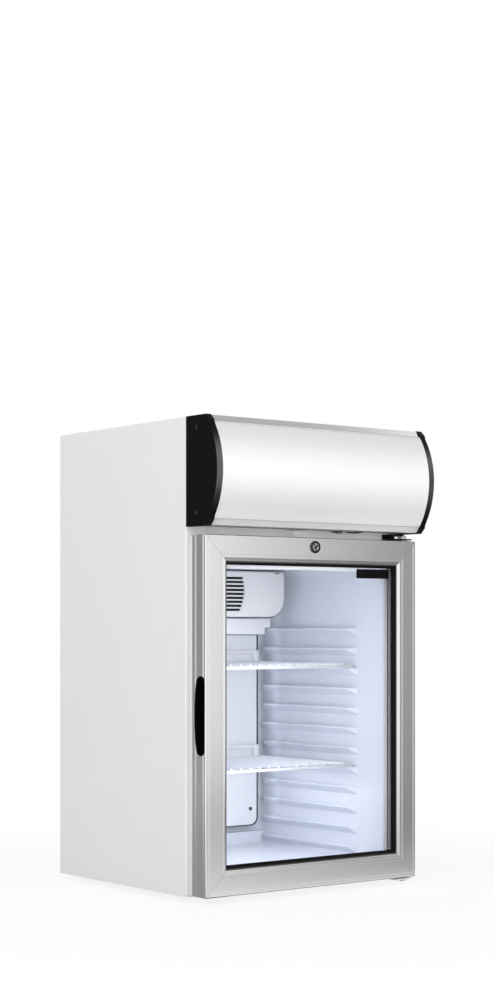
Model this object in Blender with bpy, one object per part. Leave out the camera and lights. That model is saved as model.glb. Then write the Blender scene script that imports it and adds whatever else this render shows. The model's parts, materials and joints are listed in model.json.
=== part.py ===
"""Countertop display cooler with a lit canopy, built as separate sub-parts in metres, +Z up."""
import math

import bmesh
import bpy
from mathutils import Vector

for item in list(bpy.data.objects):
    bpy.data.objects.remove(item, do_unlink=True)

# Driving dimensions: cabinet
WIDTH = 0.390
CABINET_HEIGHT = 0.650
BODY_DEPTH = 0.320
FOOT_HEIGHT = 0.008
FOOT_RADIUS = 0.013
FOOT_INSET = 0.055
REAR_STANDOFF = 0.032
SHEET = 0.001
FIT = 0.0003
PAST = 0.010
WALL = 0.035
FLOOR_THICKNESS = 0.025
BACK_WALL = 0.025
CEILING_THICKNESS = 0.0355
LINER = 0.002
LINER_LIP = 0.010

# Driving dimensions: door and canopy
DOOR_INSET = 0.005
DOOR_THICKNESS = 0.030
DOOR_HEIGHT = 0.4885
DOOR_RAISE = 0.0015
DOOR_HEAD = 0.0375
SEAL_GAP = 0.008
GASKET_WIDTH = 0.015
GASKET_EDGE = 0.003
FRAME_FACE = 0.035
FRAME_WALL = 0.0018
FRAME_BEAD = 0.0052
MITRE_GAP = 0.0002
PANE = 0.004
PANE_SPACING = 0.010
CANOPY_OVERHANG = 0.034
CANOPY_SHOULDER = 0.0070
CANOPY_CURVE_END = 0.0135
CANOPY_BROW = 0.0092
CANOPY_LAP = 0.0005
CANOPY_CLEARANCE = 0.0115
CAP_WIDTH = 0.0095
CAP_WALL = 0.0025
TRIM_WALL = 0.0015
DIFFUSER_WALL = 0.002
LAMP_BASE = 0.012
LAMP_HALF = 0.015
LAMP_TUBE = 0.008
LAMP_END_GAP = 0.012
CANOPY_SCREW_SETBACK = 0.0125
CANOPY_SCREW_INSET = 0.017
PIVOT_INSET = 0.012
PIN_RADIUS = 0.003
BUSH_RADIUS = 0.006
BUSH_LENGTH = 0.016
RUN_CLEARANCE = 0.0001
HINGE_PLATE = 0.002
HINGE_REACH = 0.020
HINGE_NOSE = 0.010
HINGE_TAIL = 0.040
HINGE_FOOT_WIDTH = 0.031
HINGE_EDGE = 0.003
PIN_HEAD = 0.0055
PIN_DEPTH = 0.014
LOCK_DROP = 0.013
LOCK_RADIUS = 0.00775
LOCK_BEZEL = 0.00875
PLUG_RADIUS = 0.0057
CAM_LENGTH = 0.0215
HANDLE_LENGTH = 0.107
HANDLE_DEPTH = 0.0165
HANDLE_WALL = 0.0015
HANDLE_WIDTH = 0.0234
HANDLE_BULGE = 0.0055

# Driving dimensions: inside
LEDGE_DEPTH = 0.0105
LEDGE_HEIGHT = 0.0185
RIB_PITCH = 0.0295
RIB_REACH = 0.010
RIB_DROP = 0.0125
RIB_SETBACK = 0.058
LOW_RIB_RISE = 0.014
TOP_RIB_GAP = 0.010
UPPER_SHELF_DROP = 0.048
SHELF_SPACING = 0.146
SHELF_SETBACK = 0.0665
SHELF_SIDE_GAP = 0.0025
SHELF_ROD = 0.00225
SHELF_WIRE = 0.0015
SHELF_WIRES = 17
WIRE_SINK = 0.0005
COVER_SIDE_GAP = 0.0205
COVER_DEPTH = 0.090
COVER_HEIGHT = 0.0735
COVER_WALL = 0.002
COVER_CORNER = 0.030
COVER_EDGE = 0.006
SLOT_COUNT = 9
SLOT_PITCH = 0.006
SLOT_HEIGHT = 0.0029
GRILLE_RADIUS = 0.060
FAN_RADIUS = 0.029
FAN_HUB = 0.009
SHAFT_RADIUS = 0.0015
TRAY_SETBACK = 0.0386
TRAY_HEIGHT = 0.0247
DUCT_DEPTH = 0.018
DUCT_BOTTOM = 0.0236
BAND_PROUD = 0.005
LAMP_SIDE_GAP = 0.030
LAMP_SETBACK = 0.010
LAMP_DEPTH = 0.018
LAMP_HEIGHT = 0.0055
FAN_ARM = 0.052
FAN_SETBACK = 0.008
FAN_BRACKET = 0.027
MOTOR_RADIUS = 0.017
MOTOR_LENGTH = 0.016
COIL_SETBACK = 0.046
COIL_HEADROOM = 0.004
COIL_FINS = 18
GRILLE_DROP = 0.031

# Driving dimensions: machine compartment and rear
COMPRESSOR_LONG = 0.072
COMPRESSOR_SHORT = 0.055
COMPRESSOR_FOOT = 0.010
COMPRESSOR_HEADROOM = 0.0237
COMPRESSOR_INSET = 0.140
COMPRESSOR_SETBACK = 0.150
STUB_SPREAD = 0.030
STUB_REACH = 0.012
RELAY_BOSS = 0.007
RELAY_DEPTH = 0.030
RELAY_HALF = 0.024
TUBE_RADIUS = 0.0025
CONDENSER_SIDE = 0.055
CONDENSER_DROP = 0.045
CONDENSER_RUNS = 9
CONDENSER_PITCH = 0.040
CONDENSER_OFFSET = 0.020
CONDENSER_TAIL = 0.030
STRAP_INSET = 0.045
DRIER_OFFSET = 0.022
DRIER_RADIUS = 0.008
DRIER_LENGTH = 0.064
DRIER_TAPER = 0.011
SUCTION_DROP = 0.075
VENT_PITCH = 0.013
VENT_HEIGHT = 0.0045
VENT_RISE = 0.048
KNOB_RADIUS = 0.016
KNOB_INSET = 0.075
KNOB_DROP = 0.055
GLAND_INSET = 0.045
GLAND_RISE = 0.030
SWITCH_INSET = 0.110
SWITCH_LENGTH = 0.0296
SWITCH_WIDTH = 0.012
SWITCH_CLEARANCE = 0.0006
SWITCH_TILT = math.radians(8.0)

# Levels and planes that follow from them
HALF = WIDTH / 2
DOOR_HALF = HALF - DOOR_INSET
BASE_Z = FOOT_HEIGHT
TOP_Z = BASE_Z + CABINET_HEIGHT
FLOOR_Z = BASE_Z + FLOOR_THICKNESS
DOOR_BOTTOM_Z = BASE_Z + DOOR_RAISE
DOOR_TOP_Z = DOOR_BOTTOM_Z + DOOR_HEIGHT
CEILING_Z = DOOR_TOP_Z - DOOR_HEAD
DECK_Z = CEILING_Z + CEILING_THICKNESS
DECK_TOP_Z = DECK_Z + SHEET
CANOPY_Z = DOOR_TOP_Z + CANOPY_CLEARANCE
OVERALL_DEPTH = CANOPY_OVERHANG + DOOR_THICKNESS + SEAL_GAP + BODY_DEPTH + REAR_STANDOFF
CANOPY_FRONT_Y = -OVERALL_DEPTH / 2
DOOR_FRONT_Y = CANOPY_FRONT_Y + CANOPY_OVERHANG
DOOR_REAR_Y = DOOR_FRONT_Y + DOOR_THICKNESS
BODY_FRONT_Y = DOOR_REAR_Y + SEAL_GAP
BODY_REAR_Y = BODY_FRONT_Y + BODY_DEPTH
REAR_Y = BODY_REAR_Y + REAR_STANDOFF
INSIDE_X = HALF - WALL
INSIDE_REAR_Y = BODY_REAR_Y - BACK_WALL
SHELL_IN_X = HALF - SHEET - FIT
LIP_Y = BODY_FRONT_Y + SHEET + FIT
PIVOT_X = DOOR_HALF - PIVOT_INSET
PIVOT_Y = DOOR_FRONT_Y + DOOR_THICKNESS / 2
LOCK_Z = DOOR_TOP_Z - LOCK_DROP
DOOR_MID_Z = DOOR_BOTTOM_Z + DOOR_HEIGHT / 2
COVER_HALF = INSIDE_X - COVER_SIDE_GAP
COVER_FRONT_Y = INSIDE_REAR_Y - COVER_DEPTH
COVER_TOP_Z = CEILING_Z - FIT
COVER_BOTTOM_Z = COVER_TOP_Z - COVER_HEIGHT
GRILLE_Z = COVER_TOP_Z - GRILLE_DROP
FAN_Z = COVER_TOP_Z - COVER_HEIGHT / 2
TRAY_TOP_Z = COVER_BOTTOM_Z - FIT
TRAY_BOTTOM_Z = TRAY_TOP_Z - TRAY_HEIGHT
DUCT_FRONT_Y = INSIDE_REAR_Y - DUCT_DEPTH
DUCT_TOP_Z = TRAY_BOTTOM_Z - 0.001
LOW_RIB_Z = FLOOR_Z + LOW_RIB_RISE
SHELF_FRONT_Y = BODY_FRONT_Y + SHELF_SETBACK
SHELF_REAR_Y = DUCT_FRONT_Y - BAND_PROUD - 0.005
SHELF_HALF = INSIDE_X - SHELF_SIDE_GAP
CAP_X = HALF + CANOPY_LAP
CANOPY_BACK_Y = BODY_FRONT_Y - FIT
SWITCH_X = HALF - SWITCH_INSET
SWITCH_Y = DOOR_REAR_Y
CONDENSER_HALF = HALF - CONDENSER_SIDE
CONDENSER_Y = BODY_REAR_Y + CONDENSER_OFFSET
CONDENSER_TOP_Z = DECK_Z - CONDENSER_DROP
CONDENSER_LOW_Z = CONDENSER_TOP_Z - CONDENSER_PITCH * (CONDENSER_RUNS - 1)
DRIER_X = CONDENSER_HALF + DRIER_OFFSET
COMPRESSOR_X = COMPRESSOR_INSET - HALF
COMPRESSOR_Y = BODY_FRONT_Y + COMPRESSOR_SETBACK
COMPRESSOR_Z = DECK_TOP_Z + FIT + COMPRESSOR_FOOT
COMPRESSOR_HEIGHT = TOP_Z - SHEET - COMPRESSOR_HEADROOM - COMPRESSOR_Z
PIPE_Z = COMPRESSOR_Z + 0.57 * COMPRESSOR_HEIGHT
KNOB_X = HALF - KNOB_INSET
KNOB_Z = TOP_Z - KNOB_DROP
GLAND_X = GLAND_INSET - HALF
GLAND_Z = DECK_TOP_Z + GLAND_RISE


def rib_top(index):
    return LOW_RIB_Z + RIB_PITCH * index


def rib_below(level):
    return int((level - LOW_RIB_Z) / RIB_PITCH)


def shelf_top(index):
    return rib_top(index) + FIT + 2 * SHELF_ROD + 2 * SHELF_WIRE - WIRE_SINK


RIB_COUNT = rib_below(TRAY_TOP_Z - TOP_RIB_GAP) + 1
UPPER_SHELF_RIB = rib_below(TRAY_BOTTOM_Z - UPPER_SHELF_DROP)
LOWER_SHELF_RIB = rib_below(rib_top(UPPER_SHELF_RIB) - SHELF_SPACING)


def material(name, colour, roughness, metallic=0.0, clear=0.0):
    mat = bpy.data.materials.new(name)
    mat.use_nodes = True
    node = mat.node_tree.nodes["Principled BSDF"]
    node.inputs["Base Color"].default_value = (*colour, 1.0)
    node.inputs["Roughness"].default_value = roughness
    node.inputs["Metallic"].default_value = metallic
    node.inputs["Transmission Weight"].default_value = clear
    return mat


WHITE_PAINT = material("white_paint", (0.80, 0.80, 0.80), 0.35)
WHITE_ABS = material("white_abs", (0.78, 0.82, 0.86), 0.40)
BLACK_ABS = material("black_abs", (0.012, 0.012, 0.013), 0.38)
ANODISED = material("anodised_aluminium", (0.62, 0.62, 0.63), 0.38, 1.0)
CHROME = material("polished_chrome", (0.75, 0.75, 0.75), 0.12, 1.0)
ZINC = material("zinc_steel", (0.55, 0.55, 0.56), 0.35, 1.0)
RUBBER = material("black_rubber", (0.015, 0.015, 0.015), 0.75)
SEAL_WHITE = material("white_seal", (0.70, 0.70, 0.69), 0.60)
CLEAR_GLASS = material("clear_glass", (0.95, 0.98, 0.98), 0.03, 0.0, 1.0)
OPAL = material("opal_acrylic", (0.90, 0.90, 0.90), 0.30)
WHITE_COAT = material("white_wire_coat", (0.82, 0.84, 0.87), 0.35)
FOAM = material("foam", (0.75, 0.68, 0.45), 0.90)
BLACK_PAINT = material("black_paint", (0.02, 0.02, 0.02), 0.40)
COPPER = material("copper_pipe", (0.70, 0.36, 0.20), 0.30, 1.0)
FIN_METAL = material("fin_aluminium", (0.68, 0.68, 0.70), 0.35, 1.0)
NYLON = material("white_nylon", (0.72, 0.72, 0.70), 0.50)


def spot(axis, u, v, w):
    if axis == "X":
        return (w, u, v)
    if axis == "Y":
        return (u, w, v)
    return (u, v, w)


def make(name, bm, mat, origin=(0.0, 0.0, 0.0), parent=None):
    bmesh.ops.recalc_face_normals(bm, faces=bm.faces)
    mesh = bpy.data.meshes.new(name)
    shift = Vector(origin)
    if parent:
        shift = shift + Vector(parent.location)
    bmesh.ops.translate(bm, vec=-shift, verts=bm.verts)
    bm.to_mesh(mesh)
    bm.free()
    obj = bpy.data.objects.new(name, mesh)
    obj.location = origin
    obj.parent = parent
    mesh.shade_smooth()
    mesh.set_sharp_from_angle(angle=math.radians(35.0))
    if mat:
        mesh.materials.append(mat)
    bpy.context.scene.collection.objects.link(obj)
    return obj


def tool(bm):
    obj = make("cutter", bm, None)
    obj.hide_render = True
    obj.display_type = "WIRE"
    return obj


def combine(obj, bm, operation):
    mod = obj.modifiers.new(operation.lower(), "BOOLEAN")
    mod.operation = operation
    mod.solver = "EXACT"
    mod.object = tool(bm)


def cut(obj, bm):
    combine(obj, bm, "DIFFERENCE")


def fuse(obj, bm):
    combine(obj, bm, "UNION")


def add_loft(bm, loops, low_of, high_of):
    """Joins flat loops, the first the outline and the rest holes, between two placed ends."""
    ends = []
    for place in (low_of, high_of):
        ends.append([[bm.verts.new(place(u, v)) for u, v in loop] for loop in loops])
    for low, high in zip(*ends):
        count = len(low)
        for i in range(count):
            j = (i + 1) % count
            bm.faces.new((low[i], low[j], high[j], high[i]))
    for end in ends:
        if len(loops) == 1:
            bm.faces.new(end[0])
            continue
        edges = []
        for ring in end:
            for i, vert in enumerate(ring):
                edges.append(bm.edges.get((vert, ring[(i + 1) % len(ring)])))
        bmesh.ops.triangle_fill(bm, use_beauty=True, use_dissolve=False, edges=edges)


def prism(axis, low, high, *loops, bm=None):
    bm = bm or bmesh.new()
    add_loft(bm, loops, lambda u, v: spot(axis, u, v, low), lambda u, v: spot(axis, u, v, high))
    return bm


def block(x0, x1, y0, y1, z0, z1, bm=None):
    return prism("Z", z0, z1, [(x0, y0), (x1, y0), (x1, y1), (x0, y1)], bm=bm)


def rectangle(u0, u1, v0, v1):
    return [(u0, v0), (u1, v0), (u1, v1), (u0, v1)]


def circle(u, v, radius, sides=16):
    step = 2 * math.pi / sides
    turns = [step * (i + 0.5) for i in range(sides)]
    return [(u + radius * math.cos(turn), v + radius * math.sin(turn)) for turn in turns]


def rounded(u0, u1, v0, v1, low_radius, high_radius, steps=5):
    corners = [(u1 - low_radius, v0 + low_radius, low_radius, -90),
               (u1 - high_radius, v1 - high_radius, high_radius, 0),
               (u0 + high_radius, v1 - high_radius, high_radius, 90),
               (u0 + low_radius, v0 + low_radius, low_radius, 180)]
    points = []
    for u, v, radius, start in corners:
        for i in range(steps + 1):
            angle = math.radians(start + 90 * i / steps)
            points.append((u + radius * math.cos(angle), v + radius * math.sin(angle)))
    return points


def turned(axis, u, v, profile, sides=16, ring=False, bm=None):
    """Revolves (radius, station) points about a line along the axis; ring closes the profile on itself."""
    bm = bm or bmesh.new()
    rows = []
    for radius, station in profile:
        rows.append([bm.verts.new(spot(axis, a, b, station)) for a, b in circle(u, v, radius, sides)])
    pairs = list(zip(rows, rows[1:]))
    if ring:
        pairs.append((rows[-1], rows[0]))
    else:
        bm.faces.new(rows[0])
        bm.faces.new(rows[-1])
    for low, high in pairs:
        for i in range(sides):
            j = (i + 1) % sides
            bm.faces.new((low[i], low[j], high[j], high[i]))
    return bm


def sweep(points, radius, bend, sides=8, steps=4, bm=None):
    """Carries a round section along a path whose corners are rounded to the bend radius."""
    bm = bm or bmesh.new()
    nodes = [Vector(p) for p in points]
    path = [nodes[0]]
    for before, corner, after in zip(nodes, nodes[1:], nodes[2:]):
        back = (before - corner).normalized()
        ahead = (after - corner).normalized()
        half = back.angle(ahead) / 2
        centre = corner + (back + ahead).normalized() * (bend / math.sin(half))
        start = corner + back * (bend / math.tan(half)) - centre
        finish = corner + ahead * (bend / math.tan(half)) - centre
        for i in range(steps + 1):
            path.append(centre + start.normalized().slerp(finish.normalized(), i / steps) * bend)
    path.append(nodes[-1])
    rows = []
    side = None
    for i, here in enumerate(path):
        first = path[max(i - 1, 0)]
        last = path[min(i + 1, len(path) - 1)]
        along = (last - first).normalized()
        if side is None:
            side = along.orthogonal().normalized()
        side = (side - along * side.dot(along)).normalized()
        across = along.cross(side)
        row = []
        for k in range(sides):
            angle = 2 * math.pi * (k + 0.5) / sides
            row.append(bm.verts.new(here + (side * math.cos(angle) + across * math.sin(angle)) * radius))
        rows.append(row)
    bm.faces.new(rows[0])
    bm.faces.new(rows[-1])
    for low, high in zip(rows, rows[1:]):
        for i in range(sides):
            j = (i + 1) % sides
            bm.faces.new((low[i], low[j], high[j], high[i]))
    return bm


def hull(points, bm=None):
    bm = bm or bmesh.new()
    verts = [bm.verts.new(p) for p in points]
    bmesh.ops.convex_hull(bm, input=verts)
    return bm


def make_outer_shell():
    obj = make("outer_shell", block(-HALF, HALF, BODY_FRONT_Y, BODY_REAR_Y, BASE_Z, TOP_Z), WHITE_PAINT)
    inner = HALF - SHEET
    low = BASE_Z - PAST
    high = TOP_Z - SHEET
    cut(obj, block(-inner, inner, BODY_FRONT_Y + SHEET, BODY_REAR_Y + PAST, low, high))
    cut(obj, block(-INSIDE_X, INSIDE_X, BODY_FRONT_Y - PAST, BODY_FRONT_Y + PAST, low, high))


def make_base_panel():
    front = [(BODY_FRONT_Y, BASE_Z), (BODY_REAR_Y - 0.05, BASE_Z), (BODY_REAR_Y - 0.05, BASE_Z + SHEET),
             (BODY_FRONT_Y + SHEET, BASE_Z + SHEET), (BODY_FRONT_Y + SHEET, FLOOR_Z), (BODY_FRONT_Y, FLOOR_Z)]
    obj = make("base_panel", prism("X", -INSIDE_X + FIT, INSIDE_X - FIT, front), WHITE_PAINT)
    fuse(obj, block(-SHELL_IN_X, SHELL_IN_X, LIP_Y, BODY_REAR_Y, BASE_Z, BASE_Z + SHEET))


def make_rear_panel():
    low = BASE_Z + SHEET + FIT
    sheet = block(-SHELL_IN_X, SHELL_IN_X, BODY_REAR_Y - SHEET, BODY_REAR_Y, low, DECK_TOP_Z)
    make("rear_panel", sheet, WHITE_PAINT)


def make_foam():
    front = LIP_Y + LINER + FIT
    rear = BODY_REAR_Y - SHEET - FIT
    fill = block(-SHELL_IN_X, SHELL_IN_X, front, rear, BASE_Z + SHEET + FIT, DECK_Z - FIT)
    obj = make("foam_insulation", fill, FOAM)
    room = LINER + FIT
    wide = INSIDE_X + room
    cut(obj, block(-wide, wide, front - PAST, INSIDE_REAR_Y + room, FLOOR_Z - room, CEILING_Z + room))


def add_rib(bm, side, top):
    wall = side * (INSIDE_X + LINER / 2)
    tip = side * (INSIDE_X - RIB_REACH)
    front = BODY_FRONT_Y + RIB_SETBACK
    rear = INSIDE_REAR_Y - 0.004
    slope = RIB_REACH * 1.3
    points = []
    for z in (top, top - 0.0025):
        points += [(wall, front, z), (tip, front + slope, z), (tip, rear - slope, z), (wall, rear, z)]
    points += [(wall, front, top - RIB_DROP), (wall, rear, top - RIB_DROP)]
    hull(points, bm)


def make_inner_liner():
    outer_x = INSIDE_X + LINER
    rear = INSIDE_REAR_Y + LINER
    tub = block(-outer_x, outer_x, LIP_Y, rear, FLOOR_Z - LINER, CEILING_Z + LINER)
    obj = make("inner_liner", tub, WHITE_ABS)
    lip_x = INSIDE_X + LINER_LIP
    fuse(obj, block(-lip_x, lip_x, LIP_Y, LIP_Y + LINER, FLOOR_Z - LINER_LIP, CEILING_Z + LINER_LIP))
    cut(obj, block(-INSIDE_X, INSIDE_X, LIP_Y - PAST, INSIDE_REAR_Y, FLOOR_Z, CEILING_Z))
    ribs = bmesh.new()
    for index in range(RIB_COUNT):
        add_rib(ribs, -1, rib_top(index))
        add_rib(ribs, 1, rib_top(index))
    fuse(obj, ribs)
    edge = LINER / 2
    wide = INSIDE_X + edge
    front = INSIDE_REAR_Y - LEDGE_DEPTH
    fuse(obj, block(-wide, wide, front, INSIDE_REAR_Y + edge, FLOOR_Z - edge, FLOOR_Z + LEDGE_HEIGHT))


def make_upper_front_panel():
    wide = INSIDE_X - FIT
    sheet = block(-wide, wide, BODY_FRONT_Y, BODY_FRONT_Y + SHEET, CEILING_Z, TOP_Z - SHEET - FIT)
    make("upper_front_panel", sheet, WHITE_PAINT)


def make_machine_deck():
    rear = BODY_REAR_Y - SHEET - FIT
    make("machine_deck", block(-SHELL_IN_X, SHELL_IN_X, LIP_Y, rear, DECK_Z, DECK_TOP_Z), ZINC)


def make_rear_grille():
    low = DECK_TOP_Z + FIT
    high = TOP_Z - SHEET - FIT
    loops = [rectangle(-SHELL_IN_X, SHELL_IN_X, low, high)]
    rows = int((high - low - VENT_RISE - VENT_PITCH / 2) / VENT_PITCH)
    for row in range(rows):
        z = low + VENT_RISE + row * VENT_PITCH
        for x in (COMPRESSOR_X + 0.010, COMPRESSOR_X + 0.085):
            loops.append(rectangle(x - 0.033, x + 0.033, z, z + VENT_HEIGHT))
    loops.append(circle(KNOB_X, KNOB_Z, 0.005))
    loops.append(circle(GLAND_X, GLAND_Z, 0.008))
    loops.append(circle(-CONDENSER_HALF, PIPE_Z, TUBE_RADIUS + 0.0015))
    loops.append(circle(DRIER_X, GLAND_Z, TUBE_RADIUS + 0.0005))
    make("rear_grille", prism("Y", BODY_REAR_Y - SHEET, BODY_REAR_Y, *loops), WHITE_PAINT)


def make_feet():
    across = HALF - FOOT_INSET
    front = BODY_FRONT_Y + FOOT_INSET
    rear = BODY_REAR_Y - FOOT_INSET
    spots = {"foot_front_left": (-across, front), "foot_front_right": (across, front),
             "foot_rear_left": (-across, rear), "foot_rear_right": (across, rear)}
    for name, (x, y) in spots.items():
        rim = FOOT_RADIUS
        profile = [(rim - 0.0025, 0.0), (rim - 0.001, 0.0012), (rim, FOOT_HEIGHT - FIT)]
        make(name, turned("Z", x, y, profile, 20), RUBBER)


def make_compressor():
    ground = DECK_TOP_Z + FIT
    bottom = COMPRESSOR_Z
    stations = [(0.50, 0.0), (0.80, 0.06), (0.95, 0.17), (1.0, 0.38), (1.0, 0.476), (1.05, 0.480),
                (1.05, 0.512), (1.0, 0.516), (0.98, 0.70), (0.88, 0.86), (0.64, 0.96), (0.30, 1.0)]
    bm = bmesh.new()
    rows = []
    for scale, share in stations:
        row = []
        for i in range(24):
            angle = 2 * math.pi * i / 24
            x = COMPRESSOR_X + COMPRESSOR_LONG * scale * math.cos(angle)
            y = COMPRESSOR_Y + COMPRESSOR_SHORT * scale * math.sin(angle)
            row.append(bm.verts.new((x, y, bottom + share * COMPRESSOR_HEIGHT)))
        rows.append(row)
    bm.faces.new(rows[0])
    bm.faces.new(rows[-1])
    for low, high in zip(rows, rows[1:]):
        for i in range(24):
            j = (i + 1) % 24
            bm.faces.new((low[i], low[j], high[j], high[i]))
    obj = make("compressor", bm, BLACK_PAINT)
    reach_x = COMPRESSOR_LONG + 0.012
    reach_y = COMPRESSOR_SHORT + 0.004
    plate = rounded(COMPRESSOR_X - reach_x, COMPRESSOR_X + reach_x, COMPRESSOR_Y - reach_y,
                    COMPRESSOR_Y + reach_y, 0.010, 0.010, 3)
    fuse(obj, prism("Z", bottom + 0.0015, bottom + 0.0045, plate))
    feet = bmesh.new()
    for sx in (-1, 1):
        for sy in (-1, 1):
            foot_x = COMPRESSOR_X + sx * (reach_x - 0.011)
            foot_y = COMPRESSOR_Y + sy * (reach_y - 0.011)
            turned("Z", foot_x, foot_y, [(0.0085, ground), (0.0085, bottom + 0.0035)], 12, bm=feet)
    fuse(obj, feet)
    boss = COMPRESSOR_X + COMPRESSOR_LONG
    fuse(obj, block(boss - 0.012, boss + RELAY_BOSS, COMPRESSOR_Y - 0.012, COMPRESSOR_Y + 0.012,
                    bottom + 0.27 * COMPRESSOR_HEIGHT, bottom + 0.44 * COMPRESSOR_HEIGHT))
    stubs = bmesh.new()
    thick = TUBE_RADIUS + 0.001
    root = COMPRESSOR_Y + COMPRESSOR_SHORT / 2
    end = COMPRESSOR_Y + COMPRESSOR_SHORT + STUB_REACH
    for x in (COMPRESSOR_X - STUB_SPREAD, COMPRESSOR_X + STUB_SPREAD):
        turned("Y", x, PIPE_Z, [(thick, root), (thick, end)], 10, bm=stubs)
    fuse(obj, stubs)


def make_start_relay():
    face = COMPRESSOR_X + COMPRESSOR_LONG + RELAY_BOSS + FIT
    low = COMPRESSOR_Z + 0.19 * COMPRESSOR_HEIGHT
    high = COMPRESSOR_Z + 0.60 * COMPRESSOR_HEIGHT
    outline = rounded(COMPRESSOR_Y - RELAY_HALF, COMPRESSOR_Y + RELAY_HALF, low, high, 0.004, 0.004, 2)
    make("start_relay", prism("X", face, face + RELAY_DEPTH, outline), BLACK_ABS)


def make_pipes():
    start_y = COMPRESSOR_Y + COMPRESSOR_SHORT + STUB_REACH + FIT
    turn_y = BODY_REAR_Y - 0.045
    left = COMPRESSOR_X - STUB_SPREAD
    low = CONDENSER_TOP_Z + CONDENSER_TAIL + FIT
    discharge = [(left, start_y, PIPE_Z), (left, turn_y, PIPE_Z), (-CONDENSER_HALF, turn_y, PIPE_Z),
                 (-CONDENSER_HALF, CONDENSER_Y, PIPE_Z), (-CONDENSER_HALF, CONDENSER_Y, low)]
    make("discharge_line", sweep(discharge, TUBE_RADIUS, 0.010), COPPER)
    right = COMPRESSOR_X + STUB_SPREAD
    drop_x = right + SUCTION_DROP
    suction = [(right, start_y, PIPE_Z), (right, turn_y, PIPE_Z), (drop_x, turn_y, PIPE_Z),
               (drop_x, turn_y, DECK_TOP_Z + FIT)]
    make("suction_line", sweep(suction, TUBE_RADIUS + 0.0007, 0.012), COPPER)


def make_filter_drier():
    foot = CONDENSER_LOW_Z + CONDENSER_TAIL + FIT
    low = foot + 0.006 + DRIER_TAPER
    high = low + DRIER_LENGTH
    tip = high + DRIER_TAPER
    profile = [(TUBE_RADIUS, foot), (TUBE_RADIUS, foot + 0.006), (DRIER_RADIUS, low), (DRIER_RADIUS, high),
               (TUBE_RADIUS * 0.8, tip)]
    obj = make("filter_drier", turned("Z", DRIER_X, CONDENSER_Y, profile, 12), COPPER)
    inside = BODY_REAR_Y - 0.030
    route = [(DRIER_X, CONDENSER_Y, tip - DRIER_TAPER / 2), (DRIER_X, CONDENSER_Y, GLAND_Z),
             (DRIER_X, inside, GLAND_Z), (DRIER_X, inside, DECK_TOP_Z + FIT)]
    fuse(obj, sweep(route, 0.0014, 0.008, 6, 3))


def make_condenser():
    route = [(-CONDENSER_HALF, CONDENSER_Y, CONDENSER_TOP_Z + CONDENSER_TAIL)]
    side = -1
    for run in range(CONDENSER_RUNS):
        z = CONDENSER_TOP_Z - CONDENSER_PITCH * run
        route.append((side * CONDENSER_HALF, CONDENSER_Y, z))
        side = -side
        if run < CONDENSER_RUNS - 1:
            route.append((side * CONDENSER_HALF, CONDENSER_Y, z))
    route.append((DRIER_X, CONDENSER_Y, CONDENSER_LOW_Z))
    route.append((DRIER_X, CONDENSER_Y, CONDENSER_LOW_Z + CONDENSER_TAIL))
    obj = make("condenser_coil", sweep(route, TUBE_RADIUS, 0.012, 8, 3), BLACK_PAINT)
    inner = CONDENSER_Y - TUBE_RADIUS - 0.0012
    outer = CONDENSER_Y - TUBE_RADIUS + 0.0006
    foot = BODY_REAR_Y + FIT
    high = CONDENSER_TOP_Z + 0.020
    low = CONDENSER_LOW_Z - 0.020
    strap = [(foot, low), (REAR_Y, low), (REAR_Y, low + 0.003), (outer, low + 0.003),
             (outer, high - 0.003), (REAR_Y, high - 0.003), (REAR_Y, high), (foot, high),
             (foot, high - 0.004), (inner, high - 0.004), (inner, low + 0.004), (foot, low + 0.004)]
    straps = bmesh.new()
    for x in (STRAP_INSET - CONDENSER_HALF, CONDENSER_HALF - STRAP_INSET):
        prism("X", x - 0.007, x + 0.007, strap, bm=straps)
    fuse(obj, straps)


def make_evaporator_coil():
    half = COVER_HALF - COVER_CORNER - 0.002
    front = COVER_FRONT_Y + COIL_SETBACK
    rear = INSIDE_REAR_Y - 0.0008
    middle = (front + rear) / 2 - 0.004
    pitch = 2 * half / COIL_FINS
    outline = []
    for i in range(COIL_FINS):
        x = -half + i * pitch
        outline += [(x, front), (x + pitch * 0.45, front), (x + pitch * 0.45, middle), (x + pitch, middle)]
    outline[-1] = (half - 0.001, middle)
    outline += [(half - 0.001, front), (half, front), (half, rear), (-half, rear)]
    low = COVER_BOTTOM_Z + COVER_WALL + FIT
    make("evaporator_coil", prism("Z", low, COVER_TOP_Z - COVER_WALL - COIL_HEADROOM, outline), FIN_METAL)


def cover_outline(inset):
    half = COVER_HALF - inset
    low = COVER_BOTTOM_Z + inset
    high = COVER_TOP_Z - inset
    return rounded(-half, half, low, high, COVER_CORNER - inset, COVER_EDGE - inset, 6)


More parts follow.
